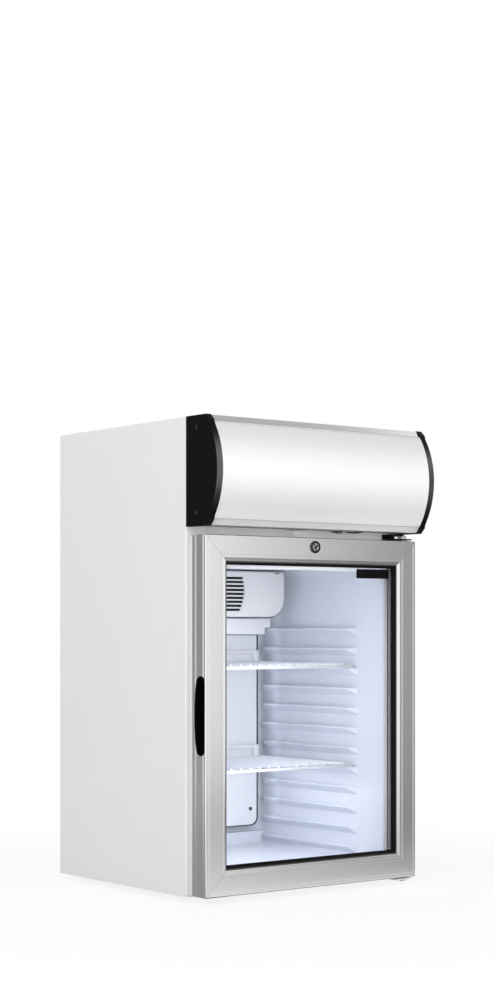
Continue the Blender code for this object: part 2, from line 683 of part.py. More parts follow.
def make_evaporator_cover():
    shell = prism("Y", COVER_FRONT_Y, INSIDE_REAR_Y - FIT, cover_outline(0.0))
    obj = make("evaporator_cover", shell, WHITE_ABS)
    cut(obj, prism("Y", COVER_FRONT_Y + COVER_WALL, INSIDE_REAR_Y + PAST, cover_outline(COVER_WALL)))
    slots = bmesh.new()
    for index in range(SLOT_COUNT):
        z = COVER_TOP_Z - 0.013 - SLOT_PITCH * index
        reach = math.sqrt(GRILLE_RADIUS ** 2 - (z - GRILLE_Z) ** 2)
        end = SLOT_HEIGHT * 0.45
        outline = rounded(-reach, reach, z - SLOT_HEIGHT / 2, z + SLOT_HEIGHT / 2, end, end, 2)
        prism("Y", COVER_FRONT_Y - PAST, COVER_FRONT_Y + COVER_WALL + 0.001, outline, bm=slots)
    for x in (0.0165 - COVER_HALF, COVER_HALF - 0.0165):
        outline = rectangle(x - 0.005, x + 0.005, COVER_TOP_Z - 0.0058, COVER_TOP_Z - 0.004)
        prism("Y", COVER_FRONT_Y - PAST, COVER_FRONT_Y + COVER_WALL + 0.001, outline, bm=slots)
    cut(obj, slots)
    posts = bmesh.new()
    for x in (0.005 - FAN_ARM, FAN_ARM - 0.005):
        block(x - 0.004, x + 0.004, COVER_FRONT_Y + COVER_WALL / 2, COVER_FRONT_Y + FAN_BRACKET,
              COVER_BOTTOM_Z + COVER_WALL / 2, FAN_Z + 0.006, bm=posts)
    fuse(obj, posts)


def make_fan():
    bracket = COVER_FRONT_Y + FAN_BRACKET + FIT
    ends = [(MOTOR_RADIUS, bracket - 0.001), (MOTOR_RADIUS, bracket + MOTOR_LENGTH)]
    motor = make("fan_motor", turned("Y", 0.0, FAN_Z, ends, 20), BLACK_PAINT)
    fuse(motor, block(-FAN_ARM, FAN_ARM, bracket, bracket + 0.0015, FAN_Z - 0.005, FAN_Z + 0.005))
    low = COVER_FRONT_Y + FAN_SETBACK
    tip = low + 0.002
    fuse(motor, turned("Y", 0.0, FAN_Z, [(SHAFT_RADIUS, tip), (SHAFT_RADIUS, bracket + 0.004)], 10))
    high = bracket - 0.004
    bore = SHAFT_RADIUS + RUN_CLEARANCE
    hub = [(FAN_HUB, low), (FAN_HUB, high), (bore, high), (bore, low + 0.0012)]
    mid = (low + high) / 2
    blade = make("fan_blade", turned("Y", 0.0, FAN_Z, hub, 20), BLACK_ABS, origin=(0.0, mid, FAN_Z))
    vanes = bmesh.new()
    for index in range(5):
        turn = 2 * math.pi * index / 5
        points = []
        for radius, spread in ((FAN_HUB - 0.0015, 0.42), (FAN_RADIUS, 0.40)):
            for sign in (-1, 1):
                angle = turn + sign * spread
                for lift in (-0.0006, 0.0006):
                    y = mid + sign * 0.0045 + lift
                    points.append((radius * math.cos(angle), y, FAN_Z + radius * math.sin(angle)))
        hull(points, vanes)
    fuse(blade, vanes)


def make_drip_tray():
    front = COVER_FRONT_Y + TRAY_SETBACK
    rear = INSIDE_REAR_Y - FIT
    middle = TRAY_TOP_Z - 0.014
    step = 0.011
    narrow = COVER_HALF - step
    outline = [(-COVER_HALF, TRAY_TOP_Z), (-COVER_HALF, middle), (-narrow, middle), (-narrow, TRAY_BOTTOM_Z),
               (narrow, TRAY_BOTTOM_Z), (narrow, middle), (COVER_HALF, middle), (COVER_HALF, TRAY_TOP_Z)]
    obj = make("drip_tray", prism("Y", front, rear, outline), WHITE_ABS)
    wall = 0.002
    reach = narrow - wall
    cut(obj, block(-reach, reach, front + wall, rear - wall, TRAY_BOTTOM_Z + wall, TRAY_TOP_Z + PAST))


def make_duct_panel():
    half = COVER_HALF - 0.0005
    low = FLOOR_Z + DUCT_BOTTOM
    rear = INSIDE_REAR_Y - FIT
    wall = 0.0015
    outline = rounded(-half, half, low, DUCT_TOP_Z, 0.012, 0.001, 4)
    obj = make("duct_panel", prism("Y", DUCT_FRONT_Y, rear, outline), WHITE_ABS)
    bands = bmesh.new()
    pockets = bmesh.new()
    for rib in (UPPER_SHELF_RIB, LOWER_SHELF_RIB):
        top = shelf_top(rib)
        face = DUCT_FRONT_Y - BAND_PROUD
        block(-half, half, face, DUCT_FRONT_Y + wall / 2, top - 0.012, top + 0.0165, bm=bands)
        reach = half - 0.011
        block(-reach, reach, face - PAST, DUCT_FRONT_Y - 0.001, top - 0.007, top + 0.0125, bm=pockets)
    fuse(obj, bands)
    cut(obj, pockets)
    inner = half - wall
    cut(obj, block(-inner, inner, DUCT_FRONT_Y + wall, rear + PAST, low + 0.006, DUCT_TOP_Z + PAST))


def make_shelf(name, rib):
    low = rib_top(rib) + FIT
    rod_z = low + SHELF_ROD
    wire_z = shelf_top(rib) - SHELF_WIRE
    side = SHELF_HALF - SHELF_ROD
    front = SHELF_FRONT_Y
    rear = SHELF_REAR_Y - SHELF_ROD
    bar = [(front, low), (front + 0.003, low), (front + 0.003, shelf_top(rib)), (front, shelf_top(rib))]
    obj = make(name, prism("X", -SHELF_HALF, SHELF_HALF, bar), WHITE_COAT)
    root = front + 0.001
    loop = [(-side, root, rod_z), (-side, rear, rod_z), (side, rear, rod_z), (side, root, rod_z)]
    fuse(obj, sweep(loop, SHELF_ROD, 0.008, 8, 3))
    middle = (front + rear) / 2 + 0.003
    fuse(obj, turned("X", middle, rod_z, [(SHELF_ROD * 0.9, -side), (SHELF_ROD * 0.9, side)], 6))
    wires = bmesh.new()
    pitch = 2 * side / (SHELF_WIRES + 1)
    profile = [(SHELF_WIRE, front + 0.0015), (SHELF_WIRE, SHELF_REAR_Y - 0.001)]
    for index in range(SHELF_WIRES):
        turned("Y", -side + pitch * (index + 1), wire_z, profile, 6, bm=wires)
    fuse(obj, wires)


def make_interior_lamp():
    front = BODY_FRONT_Y + LAMP_SETBACK
    rear = front + LAMP_DEPTH
    top = CEILING_Z - FIT
    low = top - LAMP_HEIGHT
    edge = 0.003
    outline = [(front, top), (front, top - edge), (front + edge, low), (rear - edge, low), (rear, top - edge),
               (rear, top)]
    wide = INSIDE_X - LAMP_SIDE_GAP
    make("interior_lamp", prism("X", -wide, wide, outline), OPAL)


def make_controls():
    inner = BODY_REAR_Y - SHEET - FIT
    body = block(KNOB_X - 0.018, KNOB_X + 0.018, inner - 0.032, inner, KNOB_Z - 0.020, KNOB_Z + 0.020)
    obj = make("thermostat", body, NYLON)
    hole = 0.003 + RUN_CLEARANCE + 0.0002
    cut(obj, turned("Y", KNOB_X, KNOB_Z, [(hole, inner - 0.010), (hole, inner + PAST)], 16))
    face = BODY_REAR_Y + FIT + 0.0007
    profile = [(0.003, inner - 0.009), (0.003, face), (KNOB_RADIUS, face), (KNOB_RADIUS, face + 0.010),
               (KNOB_RADIUS - 0.002, face + 0.012)]
    knob = turned("Y", KNOB_X, KNOB_Z, profile, 24)
    obj = make("thermostat_knob", knob, BLACK_ABS, origin=(KNOB_X, face, KNOB_Z))
    fuse(obj, block(KNOB_X - 0.002, KNOB_X + 0.002, face + 0.009, face + 0.016, KNOB_Z - KNOB_RADIUS + 0.002,
                    KNOB_Z + KNOB_RADIUS - 0.002))
    out = BODY_REAR_Y + FIT
    profile = [(0.012, out), (0.012, out + 0.003), (0.009, out + 0.012), (0.004, out + 0.012),
               (0.004, inner - 0.010), (0.0075, inner - 0.010), (0.0075, out)]
    make("cord_gland", turned("Y", GLAND_X, GLAND_Z, profile, 20, ring=True), BLACK_ABS)


def make_hinges():
    x1 = DOOR_HALF - HINGE_EDGE
    plate_z = DOOR_TOP_Z + 0.0015
    back = BODY_FRONT_Y - FIT
    front = PIVOT_Y - HINGE_NOSE
    high = CANOPY_Z - 0.0008
    plate_top = plate_z + HINGE_PLATE
    outline = [(front, plate_z), (back, plate_z), (back, high), (back - HINGE_PLATE, high),
               (back - HINGE_PLATE, plate_top), (front, plate_top)]
    top = make("hinge_bracket_top", prism("X", PIVOT_X - HINGE_REACH, x1, outline), BLACK_PAINT)
    hole = PIN_RADIUS + RUN_CLEARANCE + 0.0002
    cut(top, turned("Z", PIVOT_X, PIVOT_Y, [(hole, plate_z - PAST), (hole, plate_top + PAST)], 20))
    head = plate_top + FIT
    profile = [(PIN_RADIUS, DOOR_TOP_Z - PIN_DEPTH), (PIN_RADIUS, head), (PIN_HEAD, head),
               (PIN_HEAD, head + 0.0035), (PIN_HEAD - 0.0013, head + 0.0045)]
    make("hinge_pin_top", turned("Z", PIVOT_X, PIVOT_Y, profile, 16), ZINC)
    high = BASE_Z - FIT
    low = high - HINGE_PLATE
    plate = rectangle(x1 - HINGE_FOOT_WIDTH, x1, front, BODY_FRONT_Y + HINGE_TAIL)
    bottom = make("hinge_bracket_bottom", prism("Z", low, high, plate), WHITE_PAINT)
    cut(bottom, turned("Z", PIVOT_X, PIVOT_Y, [(hole, low - PAST), (hole, high + PAST)], 20))
    head = low - FIT
    profile = [(PIN_HEAD - 0.0013, head - 0.0030), (PIN_HEAD, head - 0.0022), (PIN_HEAD, head),
               (PIN_RADIUS, head), (PIN_RADIUS, DOOR_BOTTOM_Z + PIN_DEPTH)]
    make("hinge_pin_bottom", turned("Z", PIVOT_X, PIVOT_Y, profile, 16), ZINC)


def make_lock_strike():
    back = BODY_FRONT_Y - FIT
    lip = DOOR_REAR_Y - 0.0008
    high = CANOPY_Z - 0.0008
    low = DOOR_TOP_Z + 0.0015
    outline = [(lip, low), (lip + 0.0015, low), (lip + 0.0015, high - 0.0015), (back - 0.0015, high - 0.0015),
               (back - 0.0015, low), (back, low), (back, high), (lip, high)]
    make("lock_strike", prism("X", -0.013, 0.013, outline), WHITE_PAINT)


def bow(end, front, high, low, steps):
    """Arc from (end, high) to (end, low) whose middle bulges forward to front, as (y, z) points."""
    half = (high - low) / 2
    rise = end - front
    radius = (half * half + rise * rise) / (2 * rise)
    spread = math.asin(half / radius)
    points = []
    for i in range(steps + 1):
        angle = spread * (1 - 2 * i / steps)
        points.append((front + radius * (1 - math.cos(angle)), low + half + radius * math.sin(angle)))
    return points


def canopy_curve(inset, steps=16):
    """Front curve of the canopy from top to bottom as (y, z), moved in by the inset."""
    end = DOOR_FRONT_Y - CANOPY_CURVE_END + inset
    return bow(end, CANOPY_FRONT_Y + inset, TOP_Z - CANOPY_BROW, CANOPY_Z + CANOPY_BROW, steps)


def canopy_outline(inset):
    curve = canopy_curve(inset)
    back = CANOPY_BACK_Y - inset
    front = DOOR_FRONT_Y - CANOPY_SHOULDER + inset
    high = TOP_Z - inset
    low = CANOPY_Z + inset
    return [(back, high), (front, high)] + curve + [(front, low), (back, low)]


def make_canopy_ends():
    for name, side in (("canopy_end_left", -1), ("canopy_end_right", 1)):
        low, high = sorted((side * CAP_X, side * (CAP_X - CAP_WIDTH)))
        obj = make(name, prism("X", low, high, canopy_outline(0.0)), BLACK_ABS)
        low, high = sorted((side * (CAP_X - CAP_WALL), side * (CAP_X - CAP_WIDTH - PAST)))
        cut(obj, prism("X", low, high, canopy_outline(CAP_WALL)))
        holes = bmesh.new()
        low, high = sorted((side * (CAP_X + PAST), side * (CAP_X - CAP_WALL - 0.0015)))
        for y, z in canopy_screws():
            turned("X", y, z, [(0.0017, low), (0.0017, high)], 12, bm=holes)
        cut(obj, holes)


def canopy_screws():
    y = DOOR_FRONT_Y + CANOPY_SCREW_SETBACK
    return [(y, TOP_Z - CANOPY_SCREW_INSET), (y, CANOPY_Z + CANOPY_SCREW_INSET)]


def make_canopy_screws():
    for side_name, side in (("left", -1), ("right", 1)):
        for level, (y, z) in zip(("upper", "lower"), canopy_screws()):
            face = CAP_X + FIT
            profile = [(0.0015, side * (CAP_X - 0.0022)), (0.0015, side * face), (0.0032, side * face),
                       (0.0028, side * (face + 0.0009))]
            make("canopy_screw_" + side_name + "_" + level, turned("X", y, z, profile, 12), BLACK_PAINT)


def make_canopy_faces():
    wide = CAP_X - CAP_WIDTH - FIT
    outer = canopy_curve(0.001)
    inner = canopy_curve(0.001 + DIFFUSER_WALL)
    make("canopy_diffuser", prism("X", -wide, wide, outer + inner[::-1]), OPAL)
    nose = 0.0008
    end_y, end_z = outer[0]
    skin = TRIM_WALL
    front = DOOR_FRONT_Y - CANOPY_SHOULDER + 0.0005
    top = TOP_Z - nose
    outline = [(CANOPY_BACK_Y, top), (front, top), (end_y - 0.0002, end_z + FIT),
               (end_y + skin + 0.001, end_z + FIT), (front + 0.001, top - skin), (CANOPY_BACK_Y, top - skin)]
    make("canopy_top_trim", prism("X", -wide, wide, outline), ANODISED)
    end_y, end_z = outer[-1]
    low = CANOPY_Z + nose
    outline = [(CANOPY_BACK_Y, low), (front, low), (end_y - 0.0002, end_z - FIT),
               (end_y + skin + 0.001, end_z - FIT), (front + 0.001, low + skin), (CANOPY_BACK_Y, low + skin)]
    obj = make("canopy_bottom_trim", prism("X", -wide, wide, outline), WHITE_PAINT)
    long_gap = SWITCH_LENGTH / 2 + SWITCH_CLEARANCE
    wide_gap = SWITCH_WIDTH / 2 + SWITCH_CLEARANCE
    gap = rectangle(SWITCH_X - long_gap, SWITCH_X + long_gap, SWITCH_Y - wide_gap, SWITCH_Y + wide_gap)
    cut(obj, prism("Z", low - PAST, low + PAST, gap))


def make_light_switch():
    level = CANOPY_Z + 0.0008 + TRIM_WALL / 2
    pivot = (SWITCH_X, SWITCH_Y, level)
    half = SWITCH_LENGTH / 2
    low = -0.0028
    high = 0.0028
    outline = [(-half, low), (0.0, -0.0016), (half, low), (half, high), (0.0, 0.0055), (-half, high)]
    along = math.cos(SWITCH_TILT)
    rise = math.sin(SWITCH_TILT)
    tilted = [(SWITCH_X + u * along - v * rise, level + u * rise + v * along) for u, v in outline]
    bm = prism("Y", SWITCH_Y - SWITCH_WIDTH / 2, SWITCH_Y + SWITCH_WIDTH / 2, tilted)
    make("light_switch", bm, NYLON, origin=pivot)


def make_canopy_lamp():
    back = CANOPY_BACK_Y
    middle = (CANOPY_Z + TOP_Z) / 2
    wide = CAP_X - CAP_WIDTH - LAMP_END_GAP
    front = back - LAMP_BASE
    narrow = LAMP_HALF - 0.004
    outline = [(front, middle - narrow), (back, middle - LAMP_HALF), (back, middle + LAMP_HALF),
               (front, middle + narrow)]
    obj = make("canopy_lamp", prism("X", -wide, wide, outline), OPAL)
    ends = [(LAMP_TUBE, 0.004 - wide), (LAMP_TUBE, wide - 0.004)]
    fuse(obj, turned("X", front - LAMP_TUBE / 2, middle, ends, 12))


def frame_profile():
    """Door frame section as (distance in from the outer edge, distance back from the front)."""
    face = FRAME_FACE
    deep = DOOR_THICKNESS
    channel = face - 0.0085
    bead = FRAME_BEAD
    front = [(0.0012, 0.0), (0.0060, 0.0), (0.0065, 0.0006), (0.0070, 0.0), (face - 0.0055, 0.0)]
    inside = [(face, bead - 0.001), (face, bead), (channel, bead), (channel, deep - 0.003),
              (face - 0.004, deep - 0.003), (face - 0.004, deep)]
    back_groove = [(0.0010, deep), (0.0, deep - 0.001), (0.0, deep - 0.0055), (0.0006, deep - 0.006),
                   (0.0006, deep - 0.0085), (0.0, deep - 0.009)]
    front_groove = [(0.0, 0.0085), (0.0006, 0.008), (0.0006, 0.005), (0.0, 0.0045), (0.0, 0.0012)]
    outline = front + inside + back_groove + front_groove
    edge = FRAME_WALL + 0.0004
    hollow = rectangle(edge, channel - FRAME_WALL, FRAME_WALL, deep - FRAME_WALL)
    return [outline, hollow]


def mitred_bar(place):
    bm = bmesh.new()
    trim = MITRE_GAP
    add_loft(bm, frame_profile(), lambda u, v: place(u, v, u + trim, False),
             lambda u, v: place(u, v, u + trim, True))
    return bm


def rail_point(top):
    def place(u, v, back, far):
        x = DOOR_HALF - back if far else back - DOOR_HALF
        z = DOOR_TOP_Z - u if top else DOOR_BOTTOM_Z + u
        return (x, DOOR_FRONT_Y + v, z)
    return place


def stile_point(side):
    def place(u, v, back, far):
        z = DOOR_TOP_Z - back if far else DOOR_BOTTOM_Z + back
        return (side * (DOOR_HALF - u), DOOR_FRONT_Y + v, z)
    return place


def handle_outline(inset):
    half = HANDLE_LENGTH / 2 - inset
    front = DOOR_FRONT_Y + FRAME_WALL + 0.0006 + inset
    rear = DOOR_FRONT_Y + FRAME_WALL + 0.0006 + HANDLE_WIDTH - inset
    end = rear - HANDLE_BULGE - 0.0035
    low = DOOR_MID_Z - half
    high = DOOR_MID_Z + half
    points = [(front, low + 0.002), (front + 0.002, low), (end, low)]
    for i in range(9):
        share = -1 + 2 * i / 8
        points.append((rear - HANDLE_BULGE * share * share, DOOR_MID_Z + share * (half - 0.005)))
    points += [(end, high), (front + 0.002, high), (front, high - 0.002)]
    return points


def make_door(pivot):
    rails = {"door_rail_top": rail_point(True), "door_rail_bottom": rail_point(False),
             "door_stile_left": stile_point(-1), "door_stile_right": stile_point(1)}
    frame = {name: make(name, mitred_bar(place), ANODISED, parent=pivot) for name, place in rails.items()}
    bore = LOCK_RADIUS + FIT
    through = [(bore, DOOR_FRONT_Y - PAST), (bore, DOOR_REAR_Y + PAST)]
    cut(frame["door_rail_top"], turned("Y", 0.0, LOCK_Z, through, 24))
    seat = BUSH_RADIUS + FIT
    deep = BUSH_LENGTH + 0.002
    top_seat = [(seat, DOOR_TOP_Z - deep), (seat, DOOR_TOP_Z + PAST)]
    low_seat = [(seat, DOOR_BOTTOM_Z - PAST), (seat, DOOR_BOTTOM_Z + deep)]
    for name, profile in (("door_rail_top", top_seat), ("door_rail_bottom", low_seat)):
        cut(frame[name], turned("Z", PIVOT_X, PIVOT_Y, profile, 20))
        cut(frame["door_stile_right"], turned("Z", PIVOT_X, PIVOT_Y, profile, 20))
    edge = -DOOR_HALF
    pocket = prism("X", edge - PAST, edge + HANDLE_DEPTH + 2 * FIT, handle_outline(-FIT))
    cut(frame["door_stile_left"], pocket)
    solid = prism("X", edge + FIT, edge + HANDLE_DEPTH, handle_outline(0.0))
    cup = make("handle_insert", solid, BLACK_ABS, parent=pivot)
    cut(cup, prism("X", edge - PAST, edge + HANDLE_DEPTH - HANDLE_WALL, handle_outline(HANDLE_WALL)))
    make_glazing(pivot)
    make_door_gasket(pivot)
    make_bushes(pivot)
    make_lock(pivot)


def frame_loop(inset):
    return rectangle(inset - DOOR_HALF, DOOR_HALF - inset, DOOR_BOTTOM_Z + inset, DOOR_TOP_Z - inset)


def make_glazing(pivot):
    edge = FRAME_FACE - 0.0075
    bead = DOOR_FRONT_Y + FRAME_BEAD + FIT
    outer = bead + 0.0017 + FIT
    gap = outer + PANE + FIT
    inner = gap + PANE_SPACING - 2 * FIT + FIT
    strip = prism("Y", bead, bead + 0.0017, frame_loop(edge), frame_loop(FRAME_FACE + 0.005))
    make("glazing_gasket", strip, RUBBER, parent=pivot)
    make("glass_outer", prism("Y", outer, outer + PANE, frame_loop(edge)), CLEAR_GLASS, parent=pivot)
    strip = prism("Y", gap, inner - FIT, frame_loop(edge + 0.002), frame_loop(FRAME_FACE + 0.0035))
    make("glazing_spacer", strip, ANODISED, parent=pivot)
    make("glass_inner", prism("Y", inner, inner + PANE, frame_loop(edge)), CLEAR_GLASS, parent=pivot)


def make_door_gasket(pivot):
    left = GASKET_EDGE - DOOR_HALF
    right = PIVOT_X + 0.0025
    low = DOOR_BOTTOM_Z + GASKET_EDGE
    high = CEILING_Z + GASKET_WIDTH + 0.0005
    wide = GASKET_WIDTH
    outer = rectangle(left, right, low, high)
    inner = rectangle(left + wide, right - wide, low + wide, high - wide)
    ring = prism("Y", DOOR_REAR_Y + FIT, BODY_FRONT_Y - FIT, outer, inner)
    make("door_gasket", ring, SEAL_WHITE, parent=pivot)


def make_bushes(pivot):
    bore = PIN_RADIUS + RUN_CLEARANCE
    for name, face, away in (("door_bush_top", DOOR_TOP_Z, 1), ("door_bush_bottom", DOOR_BOTTOM_Z, -1)):
        flange = face + away * FIT
        rim = BUSH_RADIUS + 0.0012
        outer = flange + away * 0.0008
        inner = face - away * BUSH_LENGTH
        profile = [(bore, outer), (rim, outer), (rim, flange), (BUSH_RADIUS, flange), (BUSH_RADIUS, inner),
                   (bore, inner)]
        make(name, turned("Z", PIVOT_X, PIVOT_Y, profile, 20, ring=True), NYLON, parent=pivot)


def make_lock(pivot):
    face = DOOR_FRONT_Y - FIT
    bore = PLUG_RADIUS + RUN_CLEARANCE + 0.0001
    end = DOOR_REAR_Y + 0.0010
    profile = [(bore, face - 0.0018), (LOCK_BEZEL - 0.0010, face - 0.0018), (LOCK_BEZEL, face - 0.0008),
               (LOCK_BEZEL, face), (LOCK_RADIUS, face), (LOCK_RADIUS, end), (bore, end)]
    make("lock_barrel", turned("Y", 0.0, LOCK_Z, profile, 28, ring=True), CHROME, parent=pivot)
    front = face - 0.0014
    cam = end + FIT
    plug = turned("Y", 0.0, LOCK_Z, [(PLUG_RADIUS, front), (PLUG_RADIUS, cam + 0.0010)], 28)
    place = Vector((0.0, DOOR_FRONT_Y, LOCK_Z)) - Vector(pivot.location)
    obj = make("lock_plug", plug, CHROME, origin=place, parent=pivot)
    cut(obj, block(-0.0010, 0.0010, front - PAST, front + 0.0030, LOCK_Z - 0.0038, LOCK_Z + 0.0038))
    outline = rounded(-0.0065, CAM_LENGTH - 0.001, LOCK_Z - 0.0060, LOCK_Z + 0.0060, 0.004, 0.004, 3)
    fuse(obj, prism("Y", cam, cam + 0.0022, outline))


make_outer_shell()
make_base_panel()
make_rear_panel()
make_foam()
make_inner_liner()
make_upper_front_panel()
make_machine_deck()
make_rear_grille()
make_feet()
make_compressor()
make_start_relay()
make_pipes()
make_filter_drier()
make_condenser()
make_evaporator_coil()
make_evaporator_cover()
make_fan()
make_drip_tray()
make_duct_panel()
make_shelf("shelf_upper", UPPER_SHELF_RIB)
make_shelf("shelf_lower", LOWER_SHELF_RIB)
make_interior_lamp()
make_controls()
make_hinges()
make_lock_strike()
make_canopy_ends()
make_canopy_screws()
make_canopy_faces()
make_light_switch()
make_canopy_lamp()
door_pivot = bpy.data.objects.new("door_pivot", None)
door_pivot.location = (PIVOT_X, PIVOT_Y, DOOR_BOTTOM_Z)
bpy.context.scene.collection.objects.link(door_pivot)
make_door(door_pivot)
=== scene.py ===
"""Looks of the countertop display cooler: finishes, fine surfaces, studio and camera."""
import json
import math

import bmesh
import bpy
from mathutils import Matrix, Vector


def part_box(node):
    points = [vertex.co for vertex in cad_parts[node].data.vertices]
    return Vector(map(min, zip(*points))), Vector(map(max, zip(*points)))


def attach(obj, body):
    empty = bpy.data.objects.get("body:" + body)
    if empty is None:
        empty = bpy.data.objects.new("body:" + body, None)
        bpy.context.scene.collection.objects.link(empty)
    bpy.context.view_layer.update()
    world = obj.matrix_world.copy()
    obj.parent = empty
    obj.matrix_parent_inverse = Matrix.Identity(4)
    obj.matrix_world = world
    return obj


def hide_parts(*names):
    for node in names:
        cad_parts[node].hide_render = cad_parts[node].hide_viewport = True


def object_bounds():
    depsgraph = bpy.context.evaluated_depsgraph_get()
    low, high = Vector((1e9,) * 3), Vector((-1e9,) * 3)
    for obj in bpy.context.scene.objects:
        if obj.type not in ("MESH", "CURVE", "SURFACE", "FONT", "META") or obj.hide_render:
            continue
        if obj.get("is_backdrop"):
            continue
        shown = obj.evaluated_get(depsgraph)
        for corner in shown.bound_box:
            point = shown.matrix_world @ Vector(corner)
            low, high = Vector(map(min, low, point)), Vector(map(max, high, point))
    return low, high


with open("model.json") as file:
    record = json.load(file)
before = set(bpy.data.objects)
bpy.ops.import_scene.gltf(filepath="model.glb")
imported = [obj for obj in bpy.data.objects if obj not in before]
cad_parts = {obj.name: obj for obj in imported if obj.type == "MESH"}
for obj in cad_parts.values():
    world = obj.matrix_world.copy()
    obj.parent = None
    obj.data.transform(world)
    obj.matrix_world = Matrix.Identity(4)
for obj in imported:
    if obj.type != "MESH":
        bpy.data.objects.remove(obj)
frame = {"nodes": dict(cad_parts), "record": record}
CAD_LOW, CAD_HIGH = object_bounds()

# Camera, fitted to the photograph's 494 x 1000 frame
IMAGE_HEIGHT = 1000.0
SENSOR = 36.0
FOCAL_PIXELS = 1895.5
HORIZON_ROW = 625.3
CAMERA_PLACE = (-1.6898, -2.2214, 0.3757)
CAMERA_TURN = math.radians(-37.53)

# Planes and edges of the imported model
SHELL_LOW, SHELL_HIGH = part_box("outer_shell")
HALF = SHELL_HIGH.x
BODY_FRONT = SHELL_LOW.y
BODY_REAR = SHELL_HIGH.y
TOP = SHELL_HIGH.z
RAIL_LOW, RAIL_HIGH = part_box("door_rail_top")
DOOR_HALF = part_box("door_stile_right")[1].x
DOOR_FRONT = RAIL_LOW.y
DOOR_REAR = RAIL_HIGH.y
DOOR_TOP = RAIL_HIGH.z
DOOR_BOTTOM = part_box("door_rail_bottom")[0].z
DOOR_DEPTH = DOOR_REAR - DOOR_FRONT
FRAME_FACE = DOOR_TOP - RAIL_LOW.z
LIP = 0.010
LINER = 0.002
LINER_LOW, LINER_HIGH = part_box("inner_liner")
INSIDE_X = LINER_HIGH.x - LIP
INSIDE_FRONT = LINER_LOW.y
INSIDE_REAR = LINER_HIGH.y - LINER
FLOOR = LINER_LOW.z + LIP
CEILING = LINER_HIGH.z - LIP
PANE_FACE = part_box("glass_outer")[0].y

# Clearance between neighbours, reach of a cutter past a face, and limits for merging and shading
FIT = 0.0003
PAST = 0.010
WELD = 0.000001
FLAT = math.radians(1.0)
CRISP = math.radians(30.0)

# Materials

WHITE = (1.0, 1.0, 1.0, 1.0)


def feed(tree, node, inputs):
    """Sets a node's inputs: a socket, or a node's first output in use, is linked; the rest are values."""
    for key, value in dict(inputs).items():
        if isinstance(value, bpy.types.Node):
            value = next(out for out in value.outputs if out.enabled)
        if isinstance(value, bpy.types.NodeSocket):
            tree.links.new(value, node.inputs[key])
        else:
            node.inputs[key].default_value = value
    return node


def add(tree, kind, inputs=(), **settings):
    made = tree.nodes.new("ShaderNode" + kind)
    for key, value in settings.items():
        setattr(made, key, value)
    return feed(tree, made, inputs)


def show(tree, shader):
    feed(tree, tree.nodes["Material Output"], {"Surface": shader})


def object_place(tree):
    return add(tree, "TexCoord").outputs["Object"]


def noise(tree, where, scale, detail):
    return add(tree, "TexNoise", {"Vector": where, "Scale": scale, "Detail": detail})


def blend(tree, factor, low, high):
    """Mixes two colours by a factor."""
    return add(tree, "Mix", {"A": low, "B": high, "Factor": factor}, data_type="RGBA")


def spread(tree, factor, low, high):
    """Maps a factor from 0.3..0.7, where noise mostly lies, to low..high."""
    return add(tree, "MapRange",
               {"Value": factor, "From Min": 0.3, "From Max": 0.7, "To Min": low, "To Max": high})


def finish(name, colour, roughness, metallic=0.0, grain=700.0, cloud=9.0, stretch=(1.0, 1.0, 1.0),
           shade=0.03, gloss=0.05, relief=0.15, depth=0.0002, sockets=()):
    """A Principled surface whose colour drifts in broad clouds and whose gloss and relief follow a grain."""
    mat = bpy.data.materials.new(name)
    mat.use_nodes = True
    tree = mat.node_tree
    place = object_place(tree)
    aim = add(tree, "Mapping", {"Vector": place, "Scale": stretch})
    fine = noise(tree, aim, grain, 3.0)
    broad = noise(tree, place, cloud, 2.0)
    dark = [c * (1.0 - shade) for c in colour] + [1.0]
    light = [min(1.0, c * (1.0 + shade)) for c in colour] + [1.0]
    bump = add(tree, "Bump", {"Strength": relief, "Distance": depth, "Height": fine})
    feed(tree, tree.nodes["Principled BSDF"],
         {"Base Color": blend(tree, broad, dark, light),
          "Roughness": spread(tree, fine, roughness - gloss, roughness + gloss),
          "Metallic": metallic, "Normal": bump, **dict(sockets)})
    return mat


def clear_glass():
    """Glass that refracts what is seen and lets lamps and soft light pass straight through."""
    mat = finish("clear_glass", (0.985, 0.985, 0.985), 0.02, grain=40.0, shade=0.004, gloss=0.008,
                 relief=0.0, sockets={"Transmission Weight": 1.0, "IOR": 1.45,
                                      "Specular Tint": (0.06, 0.06, 0.06, 1.0)})
    tree = mat.node_tree
    rays = add(tree, "LightPath").outputs
    passing = add(tree, "Math", {0: rays["Is Shadow Ray"], 1: rays["Is Diffuse Ray"]}, operation="MAXIMUM")
    open_air = add(tree, "BsdfTransparent", {"Color": (0.97, 0.97, 0.97, 1.0)})
    show(tree, add(tree, "MixShader", {"Fac": passing, 1: tree.nodes["Principled BSDF"], 2: open_air}))
    return mat


def by_height(tree, low, high, stops):
    """Grey that follows the height between two levels, eased through (share, grey) stops."""
    split = add(tree, "SeparateXYZ", {"Vector": object_place(tree)})
    height = add(tree, "MapRange", {"Value": split.outputs["Z"], "From Min": low, "From Max": high})
    ramp = add(tree, "ValToRGB", {"Fac": height})
    ramp.color_ramp.interpolation = "EASE"
    marks = ramp.color_ramp.elements
    for mark, (share, grey) in ((marks[0], stops[0]), (marks[1], stops[-1])):
        mark.position = share
        mark.color = (grey, grey, grey, 1.0)
    for share, grey in stops[1:-1]:
        marks.new(share).color = (grey, grey, grey, 1.0)
    return ramp


